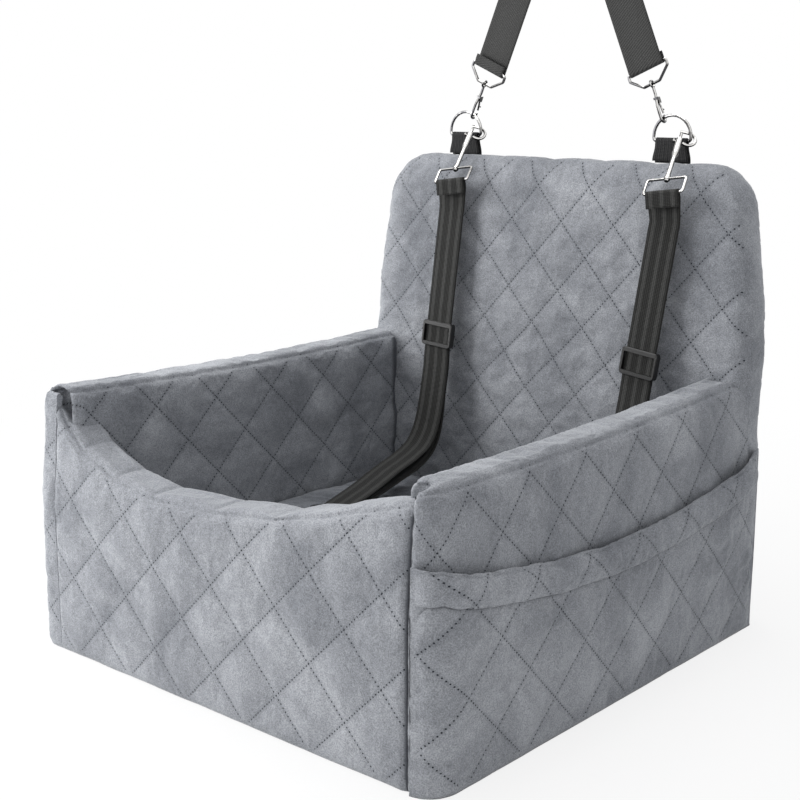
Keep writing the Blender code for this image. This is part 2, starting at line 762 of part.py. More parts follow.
def trigger_lever(label, spin):
    """The lever: its hub on the pin, the gate that closes the hook and the thumb's nub, at the origin."""
    lever = turned(
        label + "_trigger_lever", ((-LEVER_HALF, LEVER_HUB), (LEVER_HALF, LEVER_HUB)), at=spin,
        finish=NICKEL, sides=10,
    )
    tip = Vector((LEVER_TIP - LEVER_PIVOT[0], TRIGGER_HOOK + PIN_PLAY - LEVER_PIVOT[1], 0.0))
    middle = tip * 0.5 + Y_AXIS * 0.0004
    thumb = tip * 0.62
    gate = wire("gate", [Vector((0.0, 0.0, 0.0)), middle, tip], LEVER_WIRE)
    nub = wire("nub", [thumb, thumb + Vector((-NUB_WIRE, NUB_RISE, 0.0))], NUB_WIRE, sides=6)
    join(lever, gate, nub)
    cut(lever, turned("hole", ((-2 * PIN_HALF, PIN_HOLE), (2 * PIN_HALF, PIN_HOLE)), at=spin, sides=8))
    lever.data.transform(spin)
    return lever


def trigger_snap(label, at):
    """A lever snap, its lever and the lever's pin, in a frame along the strap's leg."""
    pivot = Matrix.Translation((*LEVER_PIVOT, 0.0))
    spin = Matrix.Rotation(math.radians(90.0), 4, "Y")
    settle(trigger_body(label, pivot @ spin), at)
    turned(
        label + "_lever_pin", ((-PIN_HALF, PIN_RADIUS), (PIN_HALF, PIN_RADIUS)),
        at=at @ pivot @ spin, finish=NICKEL, sides=8,
    )
    settle(trigger_lever(label, spin), at @ pivot)


def build_headrest_strap(rings):
    """The strap over the headrest with its loops and trigger snaps, hooked into both D-rings."""
    tops = {}
    for label, sign in (("left", -1), ("right", 1)):
        place, along = hook_point(rings[label], sign)
        across = Vector((math.cos(LEG_TILT), 0.0, sign * math.sin(LEG_TILT)))
        at = frame(place, along, Y_AXIS)
        trigger_snap(label, at)
        foot = place + along * TRIGGER_LENGTH
        half = HEADREST_WEB / 2 + GAP + LOOP_CORNER
        loop_at = frame(foot, along, across)
        corners = [
            Vector((0.0, -LOOP_FOOT, 0.0)), Vector((0.0, LOOP_FOOT, 0.0)),
            Vector((LOOP_DEPTH - LOOP_SHOULDER, half, 0.0)), Vector((LOOP_DEPTH, half, 0.0)),
            Vector((LOOP_DEPTH, -half, 0.0)), Vector((LOOP_DEPTH - LOOP_SHOULDER, -half, 0.0)),
        ]
        wire(label + "_strap_loop", rounded_corners(corners, LOOP_CORNER), LOOP_WIRE, closed=True,
             at=loop_at, finish=NICKEL)
        tops[label] = (foot + along * LOOP_DEPTH, along)
    build_strap_webbing(tops)


def rounded_corners(corners, radius, steps=3):
    """A closed polygon with each corner turned into a short arc."""
    count = len(corners)
    points = []
    for i, corner in enumerate(corners):
        before = (corners[i - 1] - corner).normalized()
        after = (corners[(i + 1) % count] - corner).normalized()
        half_angle = before.angle(after) / 2
        cutback = min(radius / math.tan(half_angle), 0.45 * (corners[i - 1] - corner).length,
                      0.45 * (corners[(i + 1) % count] - corner).length)
        start = corner + before * cutback
        end = corner + after * cutback
        for k in range(steps + 1):
            t = k / steps
            points.append(start * (1 - t) ** 2 + corner * 2 * t * (1 - t) + end * t ** 2)
    return points


def build_strap_webbing(tops):
    """One webbing from loop to loop, its ends folded round the loops' bars, with a half twist over the top."""
    half_turn = LOOP_WIRE + GAP + WEB_THICK / 2
    bar, up = tops["left"]
    in_plane = Vector((math.cos(LEG_TILT), 0.0, -math.sin(LEG_TILT)))
    straight = half_turn * 2.5
    points = [bar + up * HEM_LENGTH - Y_AXIS * (half_turn - GAP), bar + up * straight - Y_AXIS * half_turn]
    points += arc(bar, half_turn, 270.0, 90.0, 6, up, Y_AXIS)
    start = bar + up * straight + Y_AXIS * half_turn
    points.append(start)
    widths = [in_plane] * len(points)
    twist_at = start + up * ((STRAP_TWIST - start.z) / up.z)
    arch = STRAP_TOP - STRAP_TWIST
    reach = -twist_at.x
    over = [
        twist_at, twist_at + up * (0.33 * arch / up.z),
        Vector((-0.60 * reach, bar.y + 0.6 * half_turn, STRAP_TWIST + 0.62 * arch)),
        Vector((-0.36 * reach, bar.y + 0.3 * half_turn, STRAP_TWIST + 0.88 * arch)),
        Vector((0.0, bar.y, STRAP_TOP)),
    ]
    curve = smooth_path(over, 3)
    for i, point in enumerate(curve):
        turn = math.radians(90.0) * i / (len(curve) - 1)
        points.append(point)
        widths.append(in_plane * math.cos(turn) + Y_AXIS * math.sin(turn))
    # The right half is the left one turned half round the upright through the middle
    points += [Vector((-p.x, 2 * bar.y - p.y, p.z)) for p in reversed(points[:-1])]
    widths += [Vector((w.x, w.y, -w.z)) for w in reversed(widths[:-1])]
    ribbon("headrest_strap", points, widths, HEADREST_WEB, WEB_THICK, finish=STRAP_GREY)
    down = Vector((up.x, 0.0, -up.z))
    right = Vector((-start.x, 2 * bar.y - start.y, start.z))
    place = right - down * ((HEADREST_SLIDER_AT - start.z) / up.z)
    across = Vector((math.cos(LEG_TILT), 0.0, math.sin(LEG_TILT)))
    tri_glide("headrest_slider", place, down, across, HEADREST_WEB, BLACK_PLASTIC)


def bolt_snap(prefix, claw, along, lateral, eye_across):
    """A swivel bolt snap: claw and barrel, sprung bolt with its knob, and a webbing eye."""
    at = frame(claw, along, lateral)
    axis_at = at @ Matrix.Translation((0.0, -BARREL_OFFSET, 0.0))
    body = turned(
        prefix + "_snap_body",
        (
            (BARREL_START, BARREL_RADIUS * 0.88), (BARREL_START + 0.0006, BARREL_RADIUS),
            (BARREL_END - 0.003, BARREL_RADIUS), (BARREL_END + 0.002, SHANK_RADIUS),
            (SHANK_END - 0.003, SHANK_RADIUS), (SHANK_END - 0.001, SHANK_RADIUS * 1.25),
            (SHANK_END, SHANK_RADIUS * 1.25), (SHANK_END, NECK_RADIUS),
            (SHANK_END + HUB_LENGTH + 2 * GAP, NECK_RADIUS),
            (SHANK_END + HUB_LENGTH + 2 * GAP, NECK_RADIUS + NECK_HEAD),
            (SHANK_END + HUB_LENGTH + 2 * NECK_HEAD, NECK_RADIUS + NECK_HEAD / 2),
        ),
        finish=NICKEL, sides=12,
    )
    hook = arc((0.0, 0.0, 0.0), CLAW_RADIUS, -28.0, 188.0, 13, X_AXIS, Y_AXIS)
    hook.append(Vector((-CLAW_RADIUS + 0.0002, -BARREL_OFFSET * 0.55, 0.0)))
    hook.append(Vector((-CLAW_RADIUS + 0.0008, -BARREL_OFFSET - BOLT_RADIUS, 0.0)))
    join(body, wire("hook", hook, CLAW_WIRE, at=Matrix.Translation(BARREL_OFFSET * Y_AXIS)))
    bore_end = BARREL_END - 0.002
    bore = turned("bore", ((BARREL_START - 0.001, BORE_RADIUS), (bore_end, BORE_RADIUS)), sides=12)
    stem = KNOB_STEM
    slot = box("slot", (KNOB_AT - stem - GAP, -3 * BARREL_RADIUS, -stem - SLOT_PLAY),
               (KNOB_AT + BOLT_TRAVEL + stem + GAP, 0.0, stem + SLOT_PLAY))
    settle(cut(body, bore, slot), axis_at)
    piston = BORE_RADIUS - PIN_PLAY
    tip = -CLAW_RADIUS + 0.0008 + CLAW_WIRE + GAP
    piston_start = BARREL_START + 0.001
    piston_end = piston_start + PISTON_LENGTH
    bolt = turned(
        prefix + "_snap_bolt",
        ((tip, BOLT_RADIUS * 0.8), (tip + 0.0005, BOLT_RADIUS), (piston_start, BOLT_RADIUS),
         (piston_start + PIN_PLAY * 2, piston), (piston_end, piston)),
        finish=NICKEL, sides=10,
    )
    knob_at = Matrix.Translation(KNOB_AT * X_AXIS) @ Matrix.Rotation(math.radians(-90.0), 4, "Z")
    knob = turned(
        "knob",
        ((0.0, stem), (KNOB_RISE, stem), (KNOB_RISE + 0.0002, KNOB_RADIUS * 0.9),
         (KNOB_RISE + 0.0009, KNOB_RADIUS), (KNOB_RISE + 0.0017, KNOB_RADIUS * 0.8)),
        at=knob_at, sides=8,
    )
    settle(join(bolt, knob), axis_at)
    turns = []
    spring_radius = BORE_RADIUS - SPRING_WIRE - 2 * PIN_PLAY
    spring_start = piston_end + GAP + SPRING_WIRE
    spring_end = bore_end - GAP - SPRING_WIRE
    count = SPRING_TURNS * 8
    for k in range(count + 1):
        angle = 2 * math.pi * k / 8
        x = spring_start + (spring_end - spring_start) * k / count
        turns.append((x, spring_radius * math.cos(angle), spring_radius * math.sin(angle)))
    wire(prefix + "_snap_spring", turns, SPRING_WIRE, at=axis_at, finish=SPRING_STEEL, sides=4)
    origin = axis_at.translation
    eye_at = frame(origin, along, eye_across)
    half = TETHER_WEB / 2 + GAP + EYE_CORNER
    near = SHANK_END + GAP + HUB_LENGTH / 2
    far = near + EYE_DEPTH
    corners = [Vector((near, -half, 0.0)), Vector((near, half, 0.0)), Vector((far, half, 0.0)),
               Vector((far, -half, 0.0))]
    eye = wire(prefix + "_swivel_eye", rounded_corners(corners, EYE_CORNER), EYE_WIRE, closed=True,
               finish=NICKEL)
    hub_start = SHANK_END + GAP
    hub_end = hub_start + HUB_LENGTH
    hub = turned("hub", ((hub_start, HUB_RADIUS), (hub_end, HUB_RADIUS)), sides=12)
    join(eye, hub)
    hole = NECK_RADIUS + 2 * PIN_PLAY
    cut(eye, turned("hole", ((hub_start - HUB_LENGTH, hole), (hub_end + HUB_LENGTH, hole)), sides=12))
    head = NECK_RADIUS + NECK_HEAD + GAP
    cut(eye, turned("head_room", ((hub_end, head), (hub_end + 1.5 * HUB_LENGTH, head)), sides=12))
    settle(eye, eye_at)
    return eye_at, far


def tri_glide(name, place, along, across, webbing, finish):
    """A tri-glide slider: outer bars in front of the webbing, centre bar behind it."""
    at = frame(place, along, across)
    half_l = SLIDER_LENGTH / 2
    inner_w = webbing / 2 + SLIDER_PLAY
    half_w = inner_w + SLIDER_SIDE
    front = WEB_THICK / 2 + GAP
    depth = front + SLIDER_THICK
    corners = [Vector((-half_l, -half_w, 0.0)), Vector((half_l, -half_w, 0.0)),
               Vector((half_l, half_w, 0.0)), Vector((-half_l, half_w, 0.0))]
    outline = rounded_corners(corners, SLIDER_CORNER, 3)
    rings = []
    for z, shrink in ((-depth, SLIDER_EDGE), (SLIDER_EDGE - depth, 0.0), (depth - SLIDER_EDGE, 0.0),
                      (depth, SLIDER_EDGE)):
        scale_x = (half_l - shrink) / half_l
        scale_y = (half_w - shrink) / half_w
        rings.append([(p.x * scale_x, p.y * scale_y, z) for p in outline])
    body = add_object(name, loft(rings), finish=finish)
    window = half_l - SLIDER_RIM
    beyond = half_l + SLIDER_RIM
    rooms = (
        ((-beyond, -inner_w, -depth - SLIDER_EDGE), (beyond, inner_w, front)),
        ((-window, -inner_w, -front), (window, inner_w, depth + SLIDER_EDGE)),
    )
    for low, high in rooms:
        cut(body, box("room", low, high))
    bar = SLIDER_LENGTH * SLIDER_ROD / 2
    reach = half_w - SLIDER_SIDE / 2
    join(body, box("rod", (-bar, -reach, -depth), (bar, reach, -front)))
    settle(body, at)


def tether_points(label, bar, lower):
    """The webbing's middle from the upper eye to the lower one, and the two ends of its straight run."""
    x_top, x_low = TETHER_X[label]
    face = BACK_FACE - BACK_CROWN
    top_stand, low_stand = RUN_STAND
    run_top = Vector((x_top, face - top_stand, bar.z - 2 * HEM_LENGTH))
    run_end = Vector((x_low, face - low_stand, run_top.z - TETHER_RUN))
    bends = []
    for x, back, rise in TETHER_BENDS[label]:
        bends.append(Vector((x, face - back, CUSHION_TOP + rise)))
    return run_top, run_end, bends + [lower]


def upper_snap(label, ring):
    """The snap that hooks the D-ring's right corner. Returns its eye's bar: the middle and the direction."""
    corner = ring + Vector((ring_half(), 0.0, RING_CORNER * 0.3))
    along = Vector(UPPER_HANG).normalized()
    facing = math.radians(CLAW_FACING)
    normal = Vector((math.cos(facing), 0.0, math.sin(facing)))
    lateral = (normal - along * normal.dot(along)).normalized().cross(along)
    claw = corner + along * CLAW_PLACE[0] + lateral * CLAW_PLACE[1] + X_AXIS * CLAW_PLACE[2]
    eye_at, far = bolt_snap(label + "_upper", claw, along, lateral, X_AXIS)
    return eye_at @ Vector((far, 0.0, 0.0)), eye_at.to_3x3() @ Y_AXIS


def lower_snap(label, heading, across):
    """The snap on the cushion: its eye lies flat, its claw hangs down. Returns the middle of its eye's bar."""
    far = SHANK_END + GAP + HUB_LENGTH / 2 + EYE_DEPTH
    eye_x, eye_back = TETHER_END[label]
    bar_height = EYE_WIRE + WEB_THICK + 3 * GAP
    bar = Vector((eye_x, BACK_FACE - BACK_CROWN - eye_back, CUSHION_TOP + bar_height))
    axis_height = BARREL_OFFSET + CLAW_RADIUS + CLAW_WIRE + 2 * GAP
    along = (-heading + Z_AXIS * ((bar_height - axis_height) / far)).normalized()
    upright = (Z_AXIS - along * along.z).normalized()
    claw = bar - along * far - upright * BARREL_OFFSET
    bolt_snap(label + "_lower", claw, along, -Z_AXIS, across)
    return bar


def return_layer(points, widths, end, total, turn):
    """The webbing's way back under its own run, from the lower eye to the straight run."""
    layer = WEB_THICK + 2 * GAP
    places = []
    for i in range(end - 1, end - total - 1, -1):
        share = (end - i) / total
        along = (points[i + 1] - points[i - 1]).normalized()
        normal = Vector(widths[i]).cross(along).normalized()
        spread = layer + (2 * turn - layer) * max(0.0, 1.0 - (end - i) / 3)
        spread += LAYER_BULGE * math.sin(math.pi * min(share * 1.25, 1.0))
        places.append((points[i] + normal * spread, widths[i]))
    return places


def build_tether(label, ring):
    """One tether: upper snap on the D-ring, webbing with its slider, and the lower snap."""
    heading = Vector((*TETHER_HEADING[label], 0.0)).normalized()
    across = heading.cross(-Z_AXIS)
    bar, bar_along = upper_snap(label, ring)
    back = (Y_AXIS - bar_along * bar_along.y).normalized()
    up = bar_along.cross(back)
    lower_bar = lower_snap(label, heading, across)
    turn = EYE_WIRE + GAP + WEB_THICK / 2
    run_top, run_end, bends = tether_points(label, bar, lower_bar + Z_AXIS * turn)

    points = [bar - back * (turn + GAP) - up * HEM_LENGTH, bar - back * turn - up * 2 * turn]
    points += arc(bar, turn, 180.0, 0.0, 6, back, up)
    points.append(bar + back * turn - up * 2 * turn)
    widths = [bar_along] * len(points) + [X_AXIS] * 2
    points += [run_top, run_end]
    run = (run_end - run_top).normalized()
    curve = smooth_path([run_end - run * RUN_LEAD, run_end] + bends, 4)[5:]
    total = len(curve) - 1
    for i, point in enumerate(curve):
        points.append(point)
        widths.append(X_AXIS.lerp(across, i / total))
    end = len(points) - 1
    points += arc(lower_bar, turn, 90.0, -90.0, 6, heading, Z_AXIS)[1:]
    widths += [across] * 6
    turned_from = len(points) - 1
    back_layer = return_layer(points, widths, end, total, turn)
    slider_place = run_end - run * SLIDER_ABOVE
    normal = X_AXIS.cross(run).normalized() * (WEB_THICK + 2 * GAP)
    stop = slider_place + run * (SLIDER_LENGTH * SLIDER_ROD / 2 + GAP)
    back_layer += [(run_end + normal, X_AXIS), (stop + normal, X_AXIS)]
    points += [point for point, side in back_layer]
    widths += [side for point, side in back_layer]
    ribbon(
        label + "_tether_webbing", points, widths, TETHER_WEB, WEB_THICK,
        finish=TETHER_GREY, turned_from=turned_from,
    )
    tri_glide(label + "_tether_slider", slider_place, run, X_AXIS, TETHER_WEB, BLACK_PLASTIC)


def main():
    clear_scene()
    build_base()
    build_walls()
    build_pockets()
    rings = {label: build_ring(label, sign) for label, sign in (("left", -1), ("right", 1))}
    build_headrest_strap(rings)
    for label in ("left", "right"):
        build_tether(label, rings[label])


main()
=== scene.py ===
"""Looks of a quilted velvet dog car seat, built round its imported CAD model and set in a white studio."""

from __future__ import annotations

import json
import logging
import math
from dataclasses import dataclass, field, replace
from enum import Enum
from typing import Callable, Sequence

import bmesh
import bpy
from mathutils import Euler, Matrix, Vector, noise

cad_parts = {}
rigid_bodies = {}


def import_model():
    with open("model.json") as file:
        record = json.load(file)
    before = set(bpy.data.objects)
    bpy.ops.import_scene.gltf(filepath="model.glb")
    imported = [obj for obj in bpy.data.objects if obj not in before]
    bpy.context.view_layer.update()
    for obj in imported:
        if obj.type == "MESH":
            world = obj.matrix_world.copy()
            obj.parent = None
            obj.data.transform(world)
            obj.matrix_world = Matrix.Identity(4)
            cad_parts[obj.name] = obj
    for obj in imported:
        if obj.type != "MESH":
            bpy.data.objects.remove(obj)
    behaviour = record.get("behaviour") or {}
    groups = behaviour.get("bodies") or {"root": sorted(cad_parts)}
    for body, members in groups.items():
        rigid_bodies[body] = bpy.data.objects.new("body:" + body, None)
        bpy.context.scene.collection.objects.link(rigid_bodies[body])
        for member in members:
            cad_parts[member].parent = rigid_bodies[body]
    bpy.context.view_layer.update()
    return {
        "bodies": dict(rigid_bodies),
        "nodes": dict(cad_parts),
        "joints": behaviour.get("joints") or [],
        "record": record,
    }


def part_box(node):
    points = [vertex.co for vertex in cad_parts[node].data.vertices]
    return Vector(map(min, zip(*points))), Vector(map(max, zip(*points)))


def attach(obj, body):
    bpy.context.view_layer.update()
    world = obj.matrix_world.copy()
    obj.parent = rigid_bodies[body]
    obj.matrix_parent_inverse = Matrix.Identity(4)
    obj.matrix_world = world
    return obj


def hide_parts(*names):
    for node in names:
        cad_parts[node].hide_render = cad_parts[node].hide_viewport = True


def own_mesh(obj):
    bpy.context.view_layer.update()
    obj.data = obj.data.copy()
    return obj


log = logging.getLogger("dog_car_seat")

Colour = tuple[float, float, float]

X_AXIS = Vector((1.0, 0.0, 0.0))
Y_AXIS = Vector((0.0, 1.0, 0.0))
Z_AXIS = Vector((0.0, 0.0, 1.0))
RING_BAR = Vector((0.123, 0.230, 0.447))
GROUND = 0.0002
WELD = 0.00001
CLOTH_RELIEF = 0.45


def fixed(*place: float) -> Vector:
    """A vector that can't be changed, for a default or a constant."""
    return Vector(place).freeze()


class Side(Enum):
    """The two sides of the seat, seen from the front."""

    LEFT = -1
    RIGHT = 1

    @property
    def label(self) -> str:
        """The side's name as the CAD nodes write it."""
        return self.name.lower()


# Finishes


class NodeTree:
    """A small helper that adds and links shader nodes."""

    def __init__(self, name: str) -> None:
        """Start an empty material.

        Args:
            name: The material's name.
        """
        self.material = bpy.data.materials.new(name)
        self.material.use_nodes = True
        self.tree = self.material.node_tree
        self.shader = self.tree.nodes["Principled BSDF"]

    def add(self, kind: str, **values: object) -> bpy.types.Node:
        """Add a node and set its properties.

        Args:
            kind: The node's type name.
            **values: Properties by name.

        Returns:
            The new node.
        """
        node = self.tree.nodes.new(kind)
        for key, value in values.items():
            setattr(node, key, value)
        return node

    def feed(self, value: object, socket: bpy.types.NodeSocket) -> None:
        """Link a socket or set a constant.

        Args:
            value: An output socket, or a plain value.
            socket: The input that takes it.
        """
        if isinstance(value, bpy.types.NodeSocket):
            self.tree.links.new(value, socket)
        elif value is not None:
            socket.default_value = value

    def surface(self, **values: object) -> None:
        """Set constants on the shader.

        Args:
            **values: Values by socket name, with _ for a space.
        """
        for key, value in values.items():
            self.shader.inputs[key.replace("_", " ")].default_value = value

    def math(self, operation: str, first: object, second: object = None,
             third: object = None) -> bpy.types.NodeSocket:
        """Add a Math node.

        Args:
            operation: The node's operation.
            first: The first input.
            second: The second input, where the operation has one.
            third: The third input, where the operation has one.

        Returns:
            The node's output.
        """
        node = self.add("ShaderNodeMath", operation=operation)
        for value, socket in zip((first, second, third), node.inputs):
            self.feed(value, socket)
        return node.outputs[0]

    def noise(self, coordinate: bpy.types.NodeSocket, scale: float, detail: float = 3.0,
              roughness: float = 0.5, distortion: float = 0.0) -> bpy.types.NodeSocket:
        """Add a noise texture.

        Args:
            coordinate: Where it is looked up.
            scale: Its scale.
            detail: Its detail.
            roughness: Its roughness.
            distortion: How far it is warped.

        Returns:
            The noise's factor.
        """
        node = self.add("ShaderNodeTexNoise")
        self.feed(coordinate, node.inputs["Vector"])
        settings = {"Scale": scale, "Detail": detail, "Roughness": roughness, "Distortion": distortion}
        for key, value in settings.items():
            node.inputs[key].default_value = value
        return node.outputs["Fac"]

    def mix(self, blend: str, factor: object, first: object, second: object) -> bpy.types.NodeSocket:
        """Mix two colours.

        Args:
            blend: The way they are mixed.
            factor: The second one's share.
            first: The first colour.
            second: The second colour.

        Returns:
            The mixed colour.
        """
        node = self.add("ShaderNodeMix", data_type="RGBA", blend_type=blend)
        self.feed(factor, node.inputs["Factor"])
        self.feed(first, node.inputs["A"])
        self.feed(second, node.inputs["B"])
        return node.outputs["Result"]

    def ramp(self, factor: bpy.types.NodeSocket, low: Colour, high: Colour, start: float = 0.3,
             end: float = 0.7) -> bpy.types.NodeSocket:
        """Add a two-stop colour ramp.

        Args:
            factor: What drives it.
            low: The colour at the start.
            high: The colour at the end.
            start: The start's place.
            end: The end's place.

        Returns:
            The ramp's colour.
        """
        node = self.add("ShaderNodeValToRGB")
        self.feed(factor, node.inputs["Fac"])
        first, last = node.color_ramp.elements
        first.position, first.color = start, (*low, 1.0)
        last.position, last.color = end, (*high, 1.0)
        return node.outputs["Color"]

    def bump(self, height: bpy.types.NodeSocket, strength: float, distance: float,
             normal: bpy.types.NodeSocket | None = None) -> bpy.types.NodeSocket:
        """Add a bump node.

        Args:
            height: The height input.
            strength: The bump's strength.
            distance: The height of one unit in metres.
            normal: The normal that it builds on.

        Returns:
            The bumped normal.
        """
        node = self.add("ShaderNodeBump")
        node.inputs["Strength"].default_value = strength
        node.inputs["Distance"].default_value = distance
        self.feed(height, node.inputs["Height"])
        if normal is not None:
            self.feed(normal, node.inputs["Normal"])
        return node.outputs["Normal"]


@dataclass(frozen=True)
class Velvet:
    """Short-pile velvet with brushed patches, rows of needle holes where it is quilted, painted shade in the
    creases along the quilting lines, and dark seam lines that are partly painted shade.
    """

    name: str
    shadow: Colour = (0.200, 0.209, 0.228)
    lit: Colour = (0.360, 0.371, 0.394)
    dots: bool = True
    wide: float = 0.073
    tall: float = 0.073
    pitch: float = 0.0037
    hole: float = 0.00070
    crease: float = 0.0030
    seam_tone: Colour = (0.045, 0.049, 0.058)
    crease_tone: Colour = (0.09, 0.10, 0.115)
    hole_tone: Colour = (0.030, 0.033, 0.040)

    def build(self) -> bpy.types.Material:
        """Make the material.

        Returns:
            The velvet.
        """
        net = NodeTree(self.name)
        place = net.add("ShaderNodeTexCoord").outputs["Object"]
        pile = net.noise(place, 950.0, 2.0)
        tufts = net.noise(place, 210.0, 3.0, 0.6)
        brushed = net.noise(place, 10.0, 5.0, 0.6, 0.7)
        patches = net.math("ADD", net.math("MULTIPLY", brushed, 0.80), net.math("MULTIPLY", tufts, 0.20))
        tone = net.ramp(patches, self.shadow, self.lit, 0.36, 0.64)
        speck = net.ramp(pile, (0.70, 0.70, 0.70), (1.30, 1.30, 1.30), 0.3, 0.7)
        result = net.mix("MULTIPLY", 1.0, tone, speck)
        relief = net.math("ADD", pile, net.math("MULTIPLY", tufts, 1.4))
        normal = net.bump(relief, 0.55, 0.0006)
        if self.dots:
            mask, crease, seam = self._stitches(net)
            # Dark seam lines: partly dark joints, partly painted shade in seam grooves and painted shadow
            # lines.
            result = net.mix("MIX", seam, result, (*self.seam_tone, 1.0))
            # Painted shade in the creases along the quilting lines.
            result = net.mix("MIX", net.math("MULTIPLY", crease, 0.22), result, (*self.crease_tone, 1.0))
            result = net.mix("MIX", mask, result, (*self.hole_tone, 1.0))
            normal = net.bump(net.math("SUBTRACT", 1.0, mask), 0.9, 0.0014, normal)
        net.feed(result, net.shader.inputs["Base Color"])
        net.feed(normal, net.shader.inputs["Normal"])
        net.surface(Roughness=0.95, Specular_IOR_Level=0.10, Sheen_Weight=0.42, Sheen_Roughness=0.36,
                    Sheen_Tint=(0.95, 0.97, 1.0, 1.0))
        return net.material

    def _stitches(self, net: NodeTree) -> tuple[bpy.types.NodeSocket, ...]:
        """Masks of the needle holes, of the painted crease shade along the diamonds' lines and of the seam
        marks, which are partly painted shade.

        Args:
            net: The material being built.

        Returns:
            1 on a hole, 1 along a line's painted crease shade and 1 on a seam mark, each 0 elsewhere.
        """
        split = net.add("ShaderNodeSeparateXYZ")
        net.feed(net.add("ShaderNodeUVMap", uv_map="Cloth").outputs["UV"], split.inputs[0])
        u = net.math("DIVIDE", split.outputs["X"], self.wide)
        v = net.math("DIVIDE", split.outputs["Y"], self.tall)
        spacing = math.hypot(self.wide, self.tall) / 2 / self.pitch
        across = self.wide * self.tall / math.hypot(self.wide, self.tall)
        holes = []
        creases = []
        for operation, other in (("ADD", "SUBTRACT"), ("SUBTRACT", "ADD")):
            family = net.math(operation, u, v)
            along = net.math("MULTIPLY", net.math(other, u, v), spacing)
            off = net.math("MULTIPLY", net.math("PINGPONG", family, 0.5), across)
            row = net.math("MULTIPLY", net.math("PINGPONG", along, 0.5), self.pitch)
            gap = net.math("SQRT", net.math("ADD", net.math("POWER", off, 2.0), net.math("POWER", row, 2.0)))
            holes.append(net.math("LESS_THAN", gap, self.hole))
            away = net.math("MINIMUM", net.math("DIVIDE", off, self.crease), 1.0)
            creases.append(net.math("SUBTRACT", 1.0, away))
        mark = net.add("ShaderNodeAttribute", attribute_name="stitch").outputs["Fac"]
        keep = net.math("MINIMUM", mark, 1.0)
        seam = net.math("MINIMUM", net.math("MAXIMUM", net.math("SUBTRACT", mark, 1.0), 0.0), 0.8)
        return (net.math("MULTIPLY", net.math("MAXIMUM", *holes), keep),
                net.math("MULTIPLY", net.math("MAXIMUM", *creases), keep), seam)


@dataclass(frozen=True)
class Webbing:
    """Woven strap with lengthwise stripes, ribs and fine cross threads."""

    name: str
    base: Colour
    stripe: Colour
    stripes: float = 3.0
    share: float = 0.36
    ribs: float = 17.0
    slant: float = 0.0
    thread: float = 0.0013

    def build(self) -> bpy.types.Material:
        """Make the material.

        Returns:
            The webbing.
        """
        net = NodeTree(self.name)
        split = net.add("ShaderNodeSeparateXYZ")
        net.feed(net.add("ShaderNodeUVMap", uv_map="Cloth").outputs["UV"], split.inputs[0])
        across, along = split.outputs["X"], split.outputs["Y"]
        wave = net.math("PINGPONG", net.math("MULTIPLY", across, self.stripes), 0.5)
        band = net.math("MULTIPLY", wave, 2.0)
        place = net.add("ShaderNodeTexCoord").outputs["Object"]
        worn = net.math("MULTIPLY", net.math("SUBTRACT", net.noise(place, 260.0, 2.0), 0.5), 0.5)
        tone = net.ramp(net.math("ADD", band, worn), self.base, self.stripe, 1.0 - self.share - 0.12,
                        1.0 - self.share + 0.12)
        slanted = net.math("ADD", along, net.math("MULTIPLY", across, self.slant))
        threads = net.math("SINE", net.math("MULTIPLY", slanted, 2 * math.pi / self.thread))
        cords = net.math("SINE", net.math("MULTIPLY", across, 2 * math.pi * self.ribs))
        weave = net.math("ADD", net.math("MULTIPLY", threads, 0.5), net.math("MULTIPLY", cords, 0.6))
        relief = net.math("ADD", net.math("MULTIPLY", weave, 0.4), 0.5)
        shade = net.ramp(relief, (0.62, 0.62, 0.62), (1.25, 1.25, 1.25), 0.1, 0.9)
        net.feed(net.mix("MULTIPLY", 1.0, tone, shade), net.shader.inputs["Base Color"])
        net.feed(net.bump(weave, 0.7, 0.0004), net.shader.inputs["Normal"])
        net.surface(Roughness=0.62, Specular_IOR_Level=0.25, Sheen_Weight=0.05)
        return net.material


@dataclass(frozen=True)
class Solid:
    """One colour with a roughness and a fine grain."""

    name: str
    colour: Colour
    roughness: float
    metallic: float = 0.0
    grain: float = 0.0
    scale: float = 700.0

    def build(self) -> bpy.types.Material:
        """Make the material.

        Returns:
            The finish.
        """
        net = NodeTree(self.name)
        net.surface(Roughness=self.roughness, Metallic=self.metallic)
        place = net.add("ShaderNodeTexCoord").outputs["Object"]
        grain = net.noise(place, self.scale)
        low = tuple(0.85 * value for value in self.colour)
        net.feed(net.ramp(grain, low, self.colour, 0.3, 0.7), net.shader.inputs["Base Color"])
        if self.grain:
            net.feed(net.bump(grain, 0.4, self.grain), net.shader.inputs["Normal"])
        return net.material


